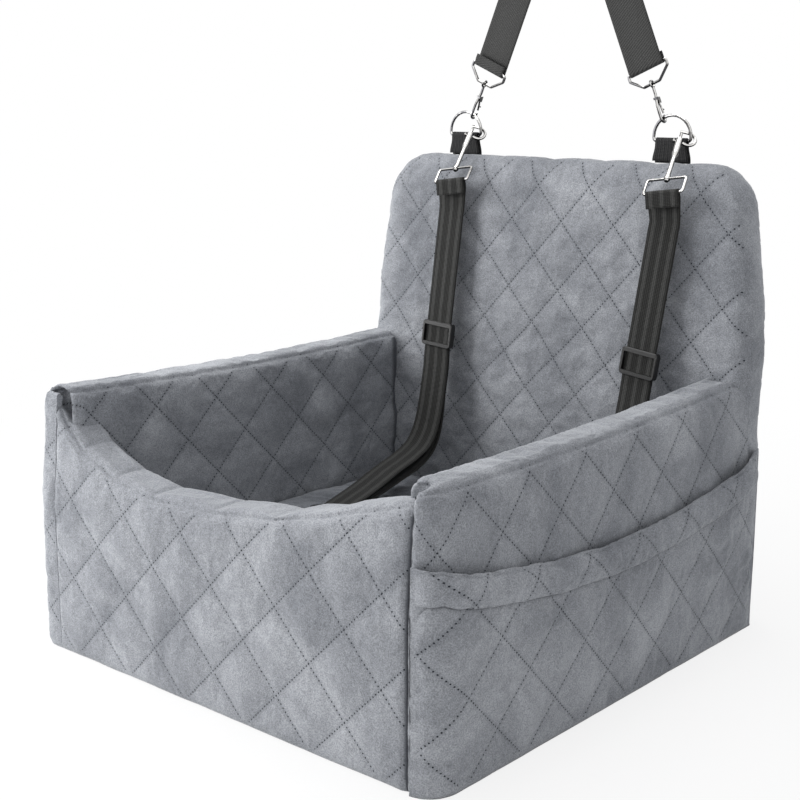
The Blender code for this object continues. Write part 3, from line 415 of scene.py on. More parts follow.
@dataclass(frozen=True)
class Plating:
    """Polished nickel whose colour is a painted reflection: painted bright or dark by how squarely it faces
    one fixed direction or its opposite.
    """

    name: str
    bright: Colour = (0.80, 0.79, 0.77)
    dark: Colour = (0.055, 0.055, 0.058)
    # The fixed direction that the painted reflection is lined up with.
    toward: tuple[float, float, float] = (0.6, 0.8, 0.9)

    def build(self) -> bpy.types.Material:
        """Make the material.

        Returns:
            The plating.
        """
        net = NodeTree(self.name)
        place = net.add("ShaderNodeTexCoord").outputs["Object"]
        split = net.add("ShaderNodeSeparateXYZ")
        net.feed(net.add("ShaderNodeNewGeometry").outputs["Normal"], split.inputs[0])
        wobble = net.math("MULTIPLY", net.math("SUBTRACT", net.noise(place, 120.0, 2.0), 0.5), 1.2)
        # Painted reflection: the base colour runs from the painted dark reflection to the painted highlight
        # as the normal faces the fixed direction or its opposite more squarely.
        right, ahead, up = (net.math("MULTIPLY", split.outputs[axis], value)
                            for axis, value in zip("XYZ", self.toward))
        slope = net.math("ADD", up, net.math("SUBTRACT", right, ahead))
        painted_reflection_facing = net.math("ABSOLUTE", net.math("ADD", slope, net.math("MULTIPLY", wobble, 0.45)))
        tone = net.ramp(net.math("MULTIPLY", painted_reflection_facing, 0.6), self.dark, self.bright, 0.50, 0.74)
        net.feed(tone, net.shader.inputs["Base Color"])
        net.feed(net.bump(net.noise(place, 300.0, 2.0), 0.12, 0.0004), net.shader.inputs["Normal"])
        net.surface(Roughness=0.14, Metallic=1.0)
        return net.material


def made(finish: Velvet | Webbing | Solid | Plating) -> bpy.types.Material:
    """A wardrobe's field, whose material is built with the wardrobe."""
    return field(default_factory=finish.build)


@dataclass
class Wardrobe:
    """Every finish of the seat, built once."""

    wall: bpy.types.Material = made(Velvet("wall_velvet"))
    back: bpy.types.Material = made(Velvet("back_velvet", wide=0.060, tall=0.067))
    # The cushion velvet is a darker copy of the wall velvet: its darkness is painted shade of the seat's
    # well.
    thin: bpy.types.Material = made(
        Velvet("cushion_velvet", (0.120, 0.128, 0.143), (0.25, 0.262, 0.285), False))
    tether: bpy.types.Material = made(
        Webbing("tether_webbing", (0.013, 0.013, 0.012), (0.046, 0.046, 0.044)))
    strap: bpy.types.Material = made(
        Webbing("strap_webbing", (0.036, 0.036, 0.035), (0.040, 0.040, 0.039), 1.0, 0.5, 0.0, 0.019, 0.0026))
    tab: bpy.types.Material = made(
        Webbing("tab_webbing", (0.014, 0.014, 0.015), (0.024, 0.024, 0.024), 9.0))
    nickel: bpy.types.Material = made(Plating("nickel"))
    steel: bpy.types.Material = made(Solid("spring_steel", (0.55, 0.55, 0.56), 0.3, 1.0))
    plastic: bpy.types.Material = made(
        Solid("black_plastic", (0.008, 0.008, 0.008), 0.36, grain=0.0001, scale=900.0))
    foam: bpy.types.Material = made(Solid("foam", (0.80, 0.78, 0.66), 0.95, grain=0.001))
    nonslip: bpy.types.Material = made(Solid("nonslip", (0.05, 0.05, 0.055), 0.8, grain=0.001, scale=420.0))


# Shapes


@dataclass(frozen=True)
class Layout:
    """Sizes of the bed in metres: the CAD model's, with the fabric's fullness at its outer faces and rims."""

    depth: float = 0.480
    wall_height: float = 0.238
    wall_thick: float = 0.0468
    front_thick: float = 0.0445
    wall_face: float = 0.2330
    front_face: float = -0.2430
    front_rise: tuple[float, float] = (0.003, -0.010)
    rear_rise: tuple[float, float] = (0.001, 0.003)
    front_rim: tuple[tuple[float, float], ...] = (
        (-0.2080, 0.2315), (-0.1950, 0.2130), (-0.1700, 0.1930), (-0.1250, 0.1755), (-0.0770, 0.1690),
        (0.0000, 0.1722), (0.0680, 0.1810), (0.1200, 0.1930), (0.1520, 0.2030), (0.1800, 0.2105),
        (0.2080, 0.2190),
    )
    seam_x: float = 0.2060
    corner: float = 0.0246
    left_corner: float = 0.014
    foot: float = 0.0003
    lean: float = 0.009
    lean_start: float = 0.131
    side_sag: float = 0.005
    end_drop: float = 0.007
    back_face: float = 0.189
    back_thick: float = 0.051
    cushion_top: float = 0.0971
    pocket_height: float = 0.173
    pocket_dip: float = 0.028
    pocket_gap: float = 0.006
    pocket_rear: float = 0.2195
    hem: float = 0.031
    seam_gap: float = 0.0004
    pinch: tuple[float, float] = (0.0002, 0.0022)
    pinch_reach: float = 0.0055
    pinch_drop: float = 0.6
    front_tuck: float = 0.017
    corner_thick: float = 0.014
    quilt_shift: float = 0.0365

    def lean_at(self, z: float) -> float:
        """How far the outer face has leant in at a height, in metres."""
        share = max(z - self.lean_start, 0.0) / (self.wall_height - self.lean_start)
        return self.lean * share

    def front_top(self, x: float) -> float:
        """Height of the scooped front rim.

        Args:
            x: Place across the front.

        Returns:
            The rim's height in metres.
        """
        for (x0, z0), (x1, z1) in zip(self.front_rim, self.front_rim[1:]):
            if x <= x1:
                return z0 + (z1 - z0) * min(max((x - x0) / (x1 - x0), 0.0), 1.0)
        return self.front_rim[-1][1]

    def side_top(self, y: float, sign: float) -> float:
        """Height of a side rim, which climbs to the backrest.

        Args:
            y: Place along the side.
            sign: -1 for the left wall and 1 for the right one.

        Returns:
            The rim's height in metres.
        """
        share = min(max((y + self.depth / 2) / self.depth, 0.0), 1.0)
        near = min(y - self.front_face, self.depth / 2 - y)
        drop = 1.0 - math.sqrt(max(1.0 - (1.0 - min(max(near, 0.0) / 0.021, 1.0)) ** 2, 0.0))
        front = self.front_rise[0] if sign < 0 else self.front_rise[1]
        rear = self.rear_rise[0] if sign < 0 else self.rear_rise[1]
        climb = front + (rear - front) * share
        return self.wall_height + climb - self.side_sag * math.sin(math.pi * share) - self.end_drop * drop

    def pinch_at(self, edge: float, sign: float) -> float:
        """How far a wall is pinched in near its front seam.

        Args:
            edge: Distance from the seam.
            sign: Below 0 at the left seam.

        Returns:
            The pinch in metres.
        """
        depth = self.pinch[0] if sign < 0 else self.pinch[1]
        return depth * (1.0 - smooth_step(edge, 0.0, self.pinch_reach)) ** 2

    def pocket_top(self, share: float) -> float:
        """Height of a pocket's mouth at a share of the way from its rear end to the front seam."""
        return self.pocket_height - self.pocket_dip * math.sin(math.pi * min(share * 1.05, 1.0)) ** 0.8


def smooth_step(value: float, low: float, high: float) -> float:
    """Rise smoothly from 0 to 1 as a value goes from low to high."""
    share = min(max((value - low) / (high - low), 0.0), 1.0)
    return share * share * (3.0 - 2.0 * share)


def groove(distance: float, width: float) -> float:
    """A soft valley round a seam: 1 on it, falling to 0 over the half width."""
    return math.exp(-(distance / width) ** 2)


def arc(centre: Vector, radius: float, start: float, end: float, steps: int, first: Vector = X_AXIS,
        second: Vector = Z_AXIS) -> list[Vector]:
    """Points on a circle between two angles.

    Args:
        centre: The circle's centre.
        radius: Its radius.
        start: The first angle in degrees.
        end: The last angle in degrees.
        steps: How many steps lie between them.
        first: The plane's first direction.
        second: The plane's second direction.

    Returns:
        The points.
    """
    points = []
    for i in range(steps + 1):
        angle = math.radians(start + (end - start) * i / steps)
        points.append(centre + radius * (math.cos(angle) * first + math.sin(angle) * second))
    return points


def smooth_path(points: Sequence[Vector], steps: int = 8) -> list[Vector]:
    """A Catmull-Rom curve through points.

    Args:
        points: The points that it passes.
        steps: How many steps lie between two of them.

    Returns:
        The curve's points.
    """
    ends = [2 * points[0] - points[1], *points, 2 * points[-1] - points[-2]]
    path = []
    for p0, p1, p2, p3 in zip(ends, ends[1:], ends[2:], ends[3:]):
        for k in range(steps):
            t = k / steps
            path.append(0.5 * (2 * p1 + (p2 - p0) * t + (2 * p0 - 5 * p1 + 4 * p2 - p3) * t ** 2
                               + (3 * p1 - p0 - 3 * p2 + p3) * t ** 3))
    path.append(points[-1].copy())
    return path


def lengths_along(points: Sequence[Vector]) -> list[float]:
    """Length of a polyline up to each of its points.

    Args:
        points: The polyline.

    Returns:
        The lengths, from 0.
    """
    lengths = [0.0]
    for a, b in zip(points, points[1:]):
        lengths.append(lengths[-1] + (b - a).length)
    return lengths


@dataclass(frozen=True)
class Plan:
    """A side wall's path from the front seam, along the front, round the corner and back to its rear end."""

    layout: Layout
    sign: float
    start: float
    rear: float
    begin: float = 0.0

    @property
    def corner(self) -> float:
        """Radius of the front corner."""
        return self.layout.left_corner if self.sign < 0 else self.layout.corner

    @property
    def flat(self) -> float:
        """Length of the straight piece before the corner."""
        return self.layout.wall_face - self.corner - self.start

    @property
    def bend(self) -> float:
        """Length of the way up to the corner's end."""
        return self.flat + self.corner * math.pi / 2

    @property
    def total(self) -> float:
        """Length of the whole way."""
        return self.bend + self.rear - (self.layout.front_face + self.corner) - self.begin

    def at(self, share: float) -> tuple[Vector, Vector, float]:
        """Point, outward normal and distance from the seam at a share of the way.

        Args:
            share: 0 at the seam and 1 at the rear end.

        Returns:
            The three of them.
        """
        run = self.begin + share * self.total
        if run < self.flat:
            return Vector((self.start + run, self.layout.front_face, 0.0)), -Y_AXIS, run
        if run < self.bend:
            angle = (run - self.flat) / self.corner
            normal = Vector((math.sin(angle), -math.cos(angle), 0.0))
            centre = Vector((self.layout.wall_face - self.corner, self.layout.front_face + self.corner, 0.0))
            return centre + self.corner * normal, normal, run
        back = self.layout.front_face + self.corner + run - self.bend
        return Vector((self.layout.wall_face, back, 0.0)), X_AXIS.copy(), run


@dataclass(frozen=True)
class Profile:
    """A closed section through a wall, from its outer foot over the rim and back."""

    points: tuple[Vector, ...]
    runs: tuple[float, ...]
    outer_rim: float
    inner_rim: float


@dataclass(frozen=True)
class Rows:
    """How many rows of mesh each stretch of a profile gets."""

    outer: int = 78
    rim: int = 56
    inner: int = 42
    bottom: int = 8
    margin: float = 0.016

    @property
    def count(self) -> int:
        """Rows round the whole profile."""
        return self.outer + self.rim + self.inner + self.bottom

    def profile(self, points: Sequence[Vector], outer_rim: int, inner_rim: int, inner_foot: int) -> Profile:
        """Spread the rows over a section.

        Args:
            points: The section, whose last point is its first one again.
            outer_rim: Index of the rim's outer edge.
            inner_rim: Index of the rim's inner edge.
            inner_foot: Index of the inner foot.

        Returns:
            The profile.
        """
        lengths = lengths_along(points)
        high, far, foot = lengths[outer_rim], lengths[inner_rim], lengths[inner_foot]
        marks = (0.0, max(high - self.margin, 0.3 * high), min(far + self.margin, 0.5 * (far + foot)), foot,
                 lengths[-1])
        runs = [0.0]
        for low, top, number in zip(marks, marks[1:], (self.outer, self.rim, self.inner, self.bottom)):
            runs += [low + (top - low) * (i + 1) / number for i in range(number)]
        spread = []
        k = 0
        for run in runs:
            while k < len(points) - 2 and lengths[k + 1] < run:
                k += 1
            span = lengths[k + 1] - lengths[k]
            share = (run - lengths[k]) / span if span else 0.0
            spread.append(points[k].lerp(points[k + 1], min(max(share, 0.0), 1.0)))
        return Profile(tuple(spread), tuple(runs), high, far)


def wall_profile(outer: float, inner: float, top: float, layout: Layout, rows: Rows) -> Profile:
    """A wall's section: X is the distance from the datum and Z the height.

    Args:
        outer: Distance of the outer face.
        inner: Distance of the inner face.
        top: Height of the rim.
        layout: The bed's sizes.
        rows: The mesh rows.

    Returns:
        The profile.
    """
    low = layout.foot
    room = max(inner - outer - layout.lean_at(top), 0.004)
    outer_round = min(0.015, 0.45 * room)
    inner_round = min(0.012, 0.40 * room)
    points = [Vector((outer + 0.0015, 0.0, low)), Vector((outer, 0.0, low + 0.004))]
    rise = top - outer_round - low - 0.004
    for i in range(1, 9):
        z = low + 0.004 + rise * i / 8
        points.append(Vector((outer + layout.lean_at(z), 0.0, z)))
    lean = layout.lean_at(top - outer_round)
    outer_centre = Vector((outer + lean + outer_round, 0.0, top - outer_round))
    points += arc(outer_centre, outer_round, 180.0, 90.0, 8)[1:]
    outer_rim = len(points) - 5
    points += arc(Vector((inner - inner_round, 0.0, top - inner_round)), inner_round, 90.0, 0.0, 8)
    inner_rim = len(points) - 5
    points.append(Vector((inner, 0.0, 0.07)))
    inner_foot = len(points) - 1
    points.append(Vector((inner - 0.4 * room, 0.0, low)))
    points.append(points[0].copy())
    return rows.profile(points, outer_rim, inner_rim, inner_foot)


@dataclass(frozen=True)
class Quilt:
    """A diamond pattern: the relief between its stitch lines."""

    wide: float = 0.073
    tall: float = 0.073
    puff: float = 0.0022

    @property
    def across(self) -> float:
        """Distance between two neighbouring lines of one family."""
        return self.wide * self.tall / math.hypot(self.wide, self.tall)

    def distance(self, u: float, v: float) -> float:
        """Distance to the nearest stitch line.

        Args:
            u: Place along the wall in metres.
            v: Height on the wall in metres.

        Returns:
            The distance in metres.
        """
        first = u / self.wide + v / self.tall
        second = u / self.wide - v / self.tall
        return self.across * min(abs(first - round(first)), abs(second - round(second)))

    def relief(self, u: float, v: float) -> float:
        """Height of the puff at a place of the cloth in metres, 0 on a stitch line."""
        share = min(self.distance(u, v) / (0.5 * self.across), 1.0)
        return self.puff * (1.0 - (1.0 - share) ** 2.2)


@dataclass(frozen=True)
class Spot:
    """One point of a fabric: its place, its cloth coordinate, how far it is quilted, and its extra lift."""

    place: Vector
    u: float
    v: float
    quilted: float = 0.0
    lift: float = 0.0
    held: bool = False
    # Share of the seam mark, painted dark: seam lines deepened with painted shade, and painted shadow lines.
    seam: float = 0.0


@dataclass(frozen=True)
class Swell:
    """A short cloth simulation that fills a skin like a pad."""

    pressure: float = 2.0
    growth: float = 0.010
    cap: float = 0.003
    frames: int = 5
    stiffness: float = 15.0
    bending: float = 0.4
    quality: int = 3
    mass: float = 0.2

    def apply(self, obj: bpy.types.Object, held: Sequence[int]) -> None:
        """Run the simulation and keep its result in the mesh.

        Args:
            obj: The skin.
            held: Indices of the points that stay in place.
        """
        group = obj.vertex_groups.new(name="held")
        group.add(list(held), 1.0, "REPLACE")
        cloth = obj.modifiers.new("swell", "CLOTH")
        settings = cloth.settings
        for key, value in (
            ("quality", self.quality), ("mass", self.mass),
            ("tension_stiffness", self.stiffness), ("compression_stiffness", self.stiffness),
            ("bending_stiffness", self.bending), ("vertex_group_mass", "held"),
            ("use_pressure", True), ("uniform_pressure_force", self.pressure),
            ("shrink_min", -self.growth),
        ):
            setattr(settings, key, value)
        settings.effector_weights.gravity = 0.0
        cloth.collision_settings.use_collision = False
        cloth.point_cache.frame_start = 1
        cloth.point_cache.frame_end = self.frames
        scene = bpy.context.scene
        for frame in range(1, self.frames + 1):
            scene.frame_set(frame)
        shaped = obj.evaluated_get(bpy.context.evaluated_depsgraph_get()).data
        for vert, moved in zip(obj.data.vertices, shaped.vertices):
            step = moved.co - vert.co
            if step.length > self.cap:
                step = step.normalized() * self.cap
            vert.co = vert.co + step
        obj.modifiers.remove(cloth)
        obj.vertex_groups.remove(group)
        scene.frame_set(1)


def add_mesh(name: str, bm: bmesh.types.BMesh, finish: bpy.types.Material,
             smooth: bool = True) -> bpy.types.Object:
    """Turn a bmesh into an object at the origin.

    Args:
        name: The object's name.
        bm: The mesh, which is freed.
        finish: Its material.
        smooth: Whether it is shaded smooth.

    Returns:
        The object.
    """
    mesh = bpy.data.meshes.new(name)
    bm.to_mesh(mesh)
    bm.free()
    mesh.materials.append(finish)
    if smooth:
        mesh.shade_smooth()
    obj = bpy.data.objects.new(name, mesh)
    bpy.context.scene.collection.objects.link(obj)
    return obj


@dataclass
class Skin:
    """A fabric surface warped from a grid, closed, quilted and swollen."""

    name: str
    spot: Callable[[float, int], Spot]
    columns: int
    rows: int
    finish: bpy.types.Material
    quilt: Quilt = Quilt()
    swell: Swell = Swell()
    crinkle: float = 0.0005
    flip: bool = False
    stitch_from: float = 0.4

    def build(self) -> bpy.types.Object:
        """Make the skin.

        Returns:
            The skin's object.
        """
        bm = bmesh.new()
        bmesh.ops.create_grid(bm, x_segments=self.columns, y_segments=self.rows, size=0.5)
        uv = bm.loops.layers.uv.new("Cloth")
        stitched = bm.verts.layers.float.new("stitch")
        raised = bm.verts.layers.float.new("raised")
        marks = bm.verts.layers.int.new("held")
        spots = {}
        for vert in bm.verts:
            share = min(max(vert.co.x + 0.5, 0.0), 1.0)
            row = round((vert.co.y + 0.5) * self.rows)
            spots[vert] = self.spot(round(share * self.columns) / self.columns, row)
        for face in bm.faces:
            for loop in face.loops:
                spot = spots[loop.vert]
                loop[uv].uv = (spot.u, spot.v)
        soft = CLOTH_RELIEF
        for vert, spot in spots.items():
            vert.co = spot.place
            # Above 1 the stitch layer carries the seam mark: dark seam lines partly painted shade, and
            # painted shadow lines.
            vert[stitched] = (1.0 if spot.quilted > self.stitch_from else 0.0) + 2.0 * spot.seam
            vert[raised] = soft * self.quilt.relief(spot.u, spot.v) * spot.quilted + spot.lift
            on_line = spot.quilted > 0.25 and self.quilt.distance(spot.u, spot.v) < 0.0015
            vert[marks] = int(spot.held or on_line)
        spots.clear()
        bmesh.ops.remove_doubles(bm, verts=bm.verts, dist=WELD)
        caps = bmesh.ops.holes_fill(bm, edges=[edge for edge in bm.edges if edge.is_boundary])["faces"]
        for edge in {edge for cap in caps for edge in cap.edges}:
            edge.smooth = False
        if self.flip:
            bmesh.ops.reverse_faces(bm, faces=bm.faces)
        bm.normal_update()
        moves = []
        for vert in bm.verts:
            rough = self.crinkle * (noise.noise(vert.co * 22.0) + 0.5 * noise.noise(vert.co * 60.0))
            moves.append((vert, vert.normal * (vert[raised] + rough)))
        for vert, move in moves:
            vert.co += move
            vert.co.z = max(vert.co.z, GROUND)
        bm.verts.index_update()
        held = [vert.index for vert in bm.verts if vert[marks]]
        obj = add_mesh(self.name, bm, self.finish)
        self.swell.apply(obj, held)
        return obj


@dataclass
class Ribbon:
    """A flat webbing with rounded edges, swept along a route."""

    name: str
    route: Sequence[Vector]
    sides: Sequence[Vector]
    width: float
    finish: bpy.types.Material
    thick: float = 0.0014
    widths: Sequence[float] | None = None

    def build(self) -> bpy.types.Object:
        """Make the webbing.

        Returns:
            The webbing's object.
        """
        around = self._around()
        bm = bmesh.new()
        bmesh.ops.create_grid(bm, x_segments=len(self.route) - 1, y_segments=len(around), size=0.5)
        uv = bm.loops.layers.uv.new("Cloth")
        runs = lengths_along(self.route)
        frames = [self._frame(i) for i in range(len(self.route))]
        marks = {}
        for vert in bm.verts:
            i = round((vert.co.x + 0.5) * (len(self.route) - 1))
            marks[vert] = (i, round((vert.co.y + 0.5) * len(around)) % len(around))
        for face in bm.faces:
            for loop in face.loops:
                i, k = marks[loop.vert]
                loop[uv].uv = (around[k][0] + 0.5, runs[i])
        for vert, (i, k) in marks.items():
            side, face = frames[i]
            across, height = around[k]
            span = self.widths[i] if self.widths else self.width
            vert.co = self.route[i] + side * across * span + face * height
        bmesh.ops.remove_doubles(bm, verts=bm.verts, dist=WELD)
        bmesh.ops.holes_fill(bm, edges=[edge for edge in bm.edges if edge.is_boundary])
        bmesh.ops.recalc_face_normals(bm, faces=bm.faces)
        return add_mesh(self.name, bm, self.finish)

    def _around(self) -> list[tuple[float, float]]:
        """Points round the section: share across, and height in metres."""
        half = self.thick / 2
        edge = 0.5 - 0.6 * half / self.width
        shares = [edge * (1.0 - 2.0 * i / 16) for i in range(17)]
        upper = [(share, half) for share in shares]
        lower = [(-share, -half) for share in shares]
        flank = 0.35 * half
        return upper + [(-0.5, flank), (-0.5, -flank)] + lower + [(0.5, -flank), (0.5, flank)]

    def _frame(self, i: int) -> tuple[Vector, Vector]:
        """Width direction and face normal at a point of the route."""
        before = self.route[max(i - 1, 0)]
        after = self.route[min(i + 1, len(self.route) - 1)]
        along = (after - before).normalized()
        side = self.sides[i]
        side = (side - along * side.dot(along)).normalized()
        return side, side.cross(along).normalized()


# Sub-assemblies


@dataclass
class Bed:
    """Walls, backrest, cushion, base and pockets."""

    layout: Layout
    finishes: Wardrobe
    rows: Rows = Rows()

    def build(self) -> None:
        """Build every soft piece of the bed."""
        self.front_wall()
        for side in Side:
            self.side_wall(side)
            self.pocket(side)
        self.backrest()
        self.cushion()
        self.base()

    def rim_spot(self, place: Vector, u: float, profile: Profile, k: int, edge: float, top: float) -> Spot:
        """Quilting, rim seams deepened with painted shade, a painted contact shadow by the backrest, and
        corner gathers of a wall at a point.

        Args:
            place: The point.
            u: Its place along the wall.
            profile: The wall's section there.
            k: Its row on the section.
            edge: Distance to the nearest vertical seam.
            top: Height of the rim there.

        Returns:
            The spot.
        """
        run = profile.runs[k]
        below = profile.outer_rim - run
        inside = run - profile.inner_rim
        quilted = max(smooth_step(below, 0.001, 0.008), smooth_step(inside, 0.001, 0.008))
        quilted *= smooth_step(edge, 0.0005, 0.0045) * smooth_step(run, 0.002, 0.010)
        # Seam marks at the rim seams and the right front seam: dark joints deepened with painted shade in
        # their grooves.
        seam = 0.55 * max(groove(below, 0.0011), groove(inside, 0.0011))
        seam = max(seam, groove(edge, 0.0012) if place.x > 0.0 else 0.0)
        # Painted contact shadow along the inner face where it meets the backrest, carried by the seam mark.
        if inside > 0.0:
            seam = max(seam, 0.5 * groove(place.y - self.layout.back_face + 0.001, 0.0035))
        lift = -0.0017 * groove(below, 0.0017) - 0.0017 * groove(inside, 0.0017)
        lift += 0.0009 * groove(below + 0.006, 0.005) + 0.0006 * groove(inside + 0.005, 0.005)
        near = 1.0 - smooth_step(edge, 0.0, 0.024)
        high = 0.12 + 0.88 * smooth_step(place.z, 0.80 * top, top)
        wave = noise.noise(Vector((run * 95.0, u * 18.0, 4.0)))
        lift += 0.0022 * near * near * high * wave
        held = k >= self.rows.count - self.rows.bottom or run < 0.004 or edge < 0.0015
        held = held or abs(below) < 0.0008 or abs(inside) < 0.0008
        if place.z < self.layout.cushion_top - 0.01 and inside > 0.0:
            held, quilted = True, 0.0
        return Spot(place, u, run, quilted, lift, held, seam)

    def front_wall(self) -> None:
        """The scooped front wall."""
        lay = self.layout
        span = lay.seam_x - lay.seam_gap
        cache: dict[float, Profile] = {}

        def profile(s: float) -> Profile:
            """Section at a share of the width."""
            if s not in cache:
                x = (2 * s - 1) * span
                pinch = lay.pinch_at(min(s, 1 - s) * 2 * span, s - 0.5)
                top = lay.front_top(x) - lay.pinch_drop * pinch
                cache[s] = wall_profile(pinch, lay.front_thick - pinch, top, lay, self.rows)
            return cache[s]

        def spot(s: float, k: int) -> Spot:
            """Point on the wall."""
            x = (2 * s - 1) * span
            here = profile(s)
            place = Vector((x, lay.front_face + here.points[k].x, here.points[k].z))
            tuck = lay.front_tuck * smooth_step(here.points[k].x, 0.011, 0.020)
            tuck *= smooth_step(abs(x), span - 0.02, span)
            place.x += math.copysign(tuck, x)
            edge = min(s, 1 - s) * 2 * span
            return self.rim_spot(place, x + lay.quilt_shift, here, k, edge, lay.front_top(x))

        skin = Skin("front_wall_skin", spot, 184, self.rows.count, self.finishes.wall)
        self.settle(skin.build(), "quilted_velvet", "front_wall_cover", "front_wall_foam")

    def side_wall(self, side: Side) -> None:
        """A side wall, which turns round the front corner to its seam.

        Args:
            side: Which wall.
        """
        lay = self.layout
        sign = side.value
        plan = Plan(lay, sign, lay.seam_x + lay.seam_gap, lay.back_face + 0.016)
        cache: dict[float, Profile] = {}

        def profile(s: float) -> Profile:
            """Section at a share of the length."""
            if s not in cache:
                point, _, run = plan.at(s)
                grown = smooth_step(run, 0.006, plan.bend + 0.010)
                thick = lay.corner_thick + (lay.wall_thick - lay.corner_thick) * grown
                pinch = lay.pinch_at(run, sign)
                tuck = 0.006 * (1.0 - smooth_step(plan.total - run, 0.0, 0.018)) ** 2
                top = lay.side_top(point.y, sign) - lay.pinch_drop * pinch - tuck
                cache[s] = wall_profile(pinch, thick - pinch, top, lay, self.rows)
            return cache[s]

        def spot(s: float, k: int) -> Spot:
            """Point on the wall."""
            point, normal, run = plan.at(s)
            here = profile(s)
            where = point - normal * here.points[k].x
            place = Vector((sign * where.x, where.y, here.points[k].z))
            edge = min(run, plan.total - run + 0.012)
            along = run + 0.012 if sign > 0 else lay.quilt_shift - lay.seam_x - run
            return self.rim_spot(place, along, here, k, edge, lay.side_top(point.y, sign))

        skin = Skin(side.label + "_wall_skin", spot, 190, self.rows.count, self.finishes.wall, flip=sign < 0)
        self.settle(skin.build(), "quilted_velvet", side.label + "_wall_cover", side.label + "_wall_foam")

    def pocket(self, side: Side) -> None:
        """A side pocket with its puffy, gathered hem and a painted shadow line under it.

        Args:
            side: Which pocket.
        """
        lay = self.layout
        sign = side.value
        plan = Plan(lay, sign, lay.seam_x + 0.0045, lay.pocket_rear)
        if sign < 0:
            plan = replace(plan, begin=plan.bend + 0.006)
        rows = Rows(outer=46, rim=62, inner=26, bottom=4, margin=0.044)
        cache: dict[float, Profile] = {}

        def mouth(s: float) -> float:
            """Height of the slightly wavy mouth."""
            wave = 0.0011 * noise.noise(Vector((s * 14.0, 3.1, sign)))
            wave *= smooth_step(min(s, 1 - s), 0.0, 0.08)
            return lay.pocket_top(1.0 - s) + wave

        def profile(s: float) -> Profile:
            """Section: up the outside, over the mouth and down behind it."""
            if s not in cache:
                top = mouth(s)
                near = min(s, 1 - s) * plan.total
                gap = lay.pocket_gap * 0.75 * smooth_step(near, 0.0, 0.05)
                full = smooth_step(near, 0.0, 0.018)
                thick = 0.0006 + 0.0022 * full
                hem = lay.hem
                points = [Vector((0.0012, 0.0, lay.foot)), Vector((thick, 0.0, 0.004))]
                for k in range(1, 13):
                    z = 0.004 + (top - hem - 0.004) * k / 12
                    points.append(Vector((gap * smooth_step(z, 0.0, 0.7 * top) + thick, 0.0, z)))
                for k in range(1, 13):
                    share = k / 12
                    bulge = 0.0052 * full * math.sin(math.pi * share) ** 0.5
                    points.append(Vector((gap + thick + bulge, 0.0, top - hem + share * (hem - 0.003))))
                points += arc(Vector((gap + thick - 0.0012, 0.0, top - 0.0024)), 0.0018, 30.0, 170.0, 7)
                rim = len(points) - 4
                points.append(Vector((gap + 0.0006, 0.0, top - 0.014)))
                points.append(Vector((gap * smooth_step(0.35, 0.0, 0.7) + 0.0005, 0.0, 0.35 * top)))
                points.append(Vector((0.0005, 0.0, 0.003)))
                foot = len(points) - 1
                points.append(points[0].copy())
                cache[s] = rows.profile(points, rim, rim, foot)
            return cache[s]

        def spot(s: float, k: int) -> Spot:
            """Point on the pocket."""
            point, normal, along = plan.at(s)
            here = profile(s)
            where = point + normal * here.points[k].x
            place = Vector((sign * where.x, where.y, here.points[k].z))
            run = here.runs[k]
            below = here.outer_rim - run
            near = min(s, 1 - s) * plan.total
            seam = below - lay.hem
            ends = smooth_step(near, 0.003, 0.011)
            on_hem = smooth_step(below, 0.001, 0.004) * (1.0 - smooth_step(seam, -0.002, 0.0))
            quilted = ends * smooth_step(run, 0.004, 0.014)
            quilted *= smooth_step(seam, 0.001, 0.006) + 0.42 * on_hem
            gathers = math.sin(along * 2 * math.pi / 0.0135 + 3.0 * noise.noise(place * 30.0))
            lift = -0.0036 * groove(seam, 0.0018) - 0.0006 * groove(below - 0.0035, 0.0012)
            lift += 0.00035 * gathers * groove(seam - 0.002, 0.006)
            gathered = 1.0 - smooth_step(near, 0.0, 0.02)
            lift += 0.0008 * gathered * noise.noise(Vector((run * 90.0, 1.0, 2.0)))
            held = run < 0.004 or near < 0.0015 or abs(seam) < 0.0009 or k >= rows.outer + rows.rim
            if below < 0.0:
                quilted = 0.0
            # Seam mark along the hem's lower seam: a painted shadow line under the puffy hem.
            stitched = 0.9 * groove(seam, 0.0017) if below > 0.0 else 0.0
            return Spot(place, along + 0.030, run, quilted, lift, held, stitched)

        skin = Skin(side.label + "_pocket_skin", spot, 190, rows.count, self.finishes.wall, flip=sign < 0,
                    swell=Swell(1.6, 0.015, 0.003), stitch_from=0.12)
        self.settle(skin.build(), "pocket_velvet", side.label + "_side_pocket")

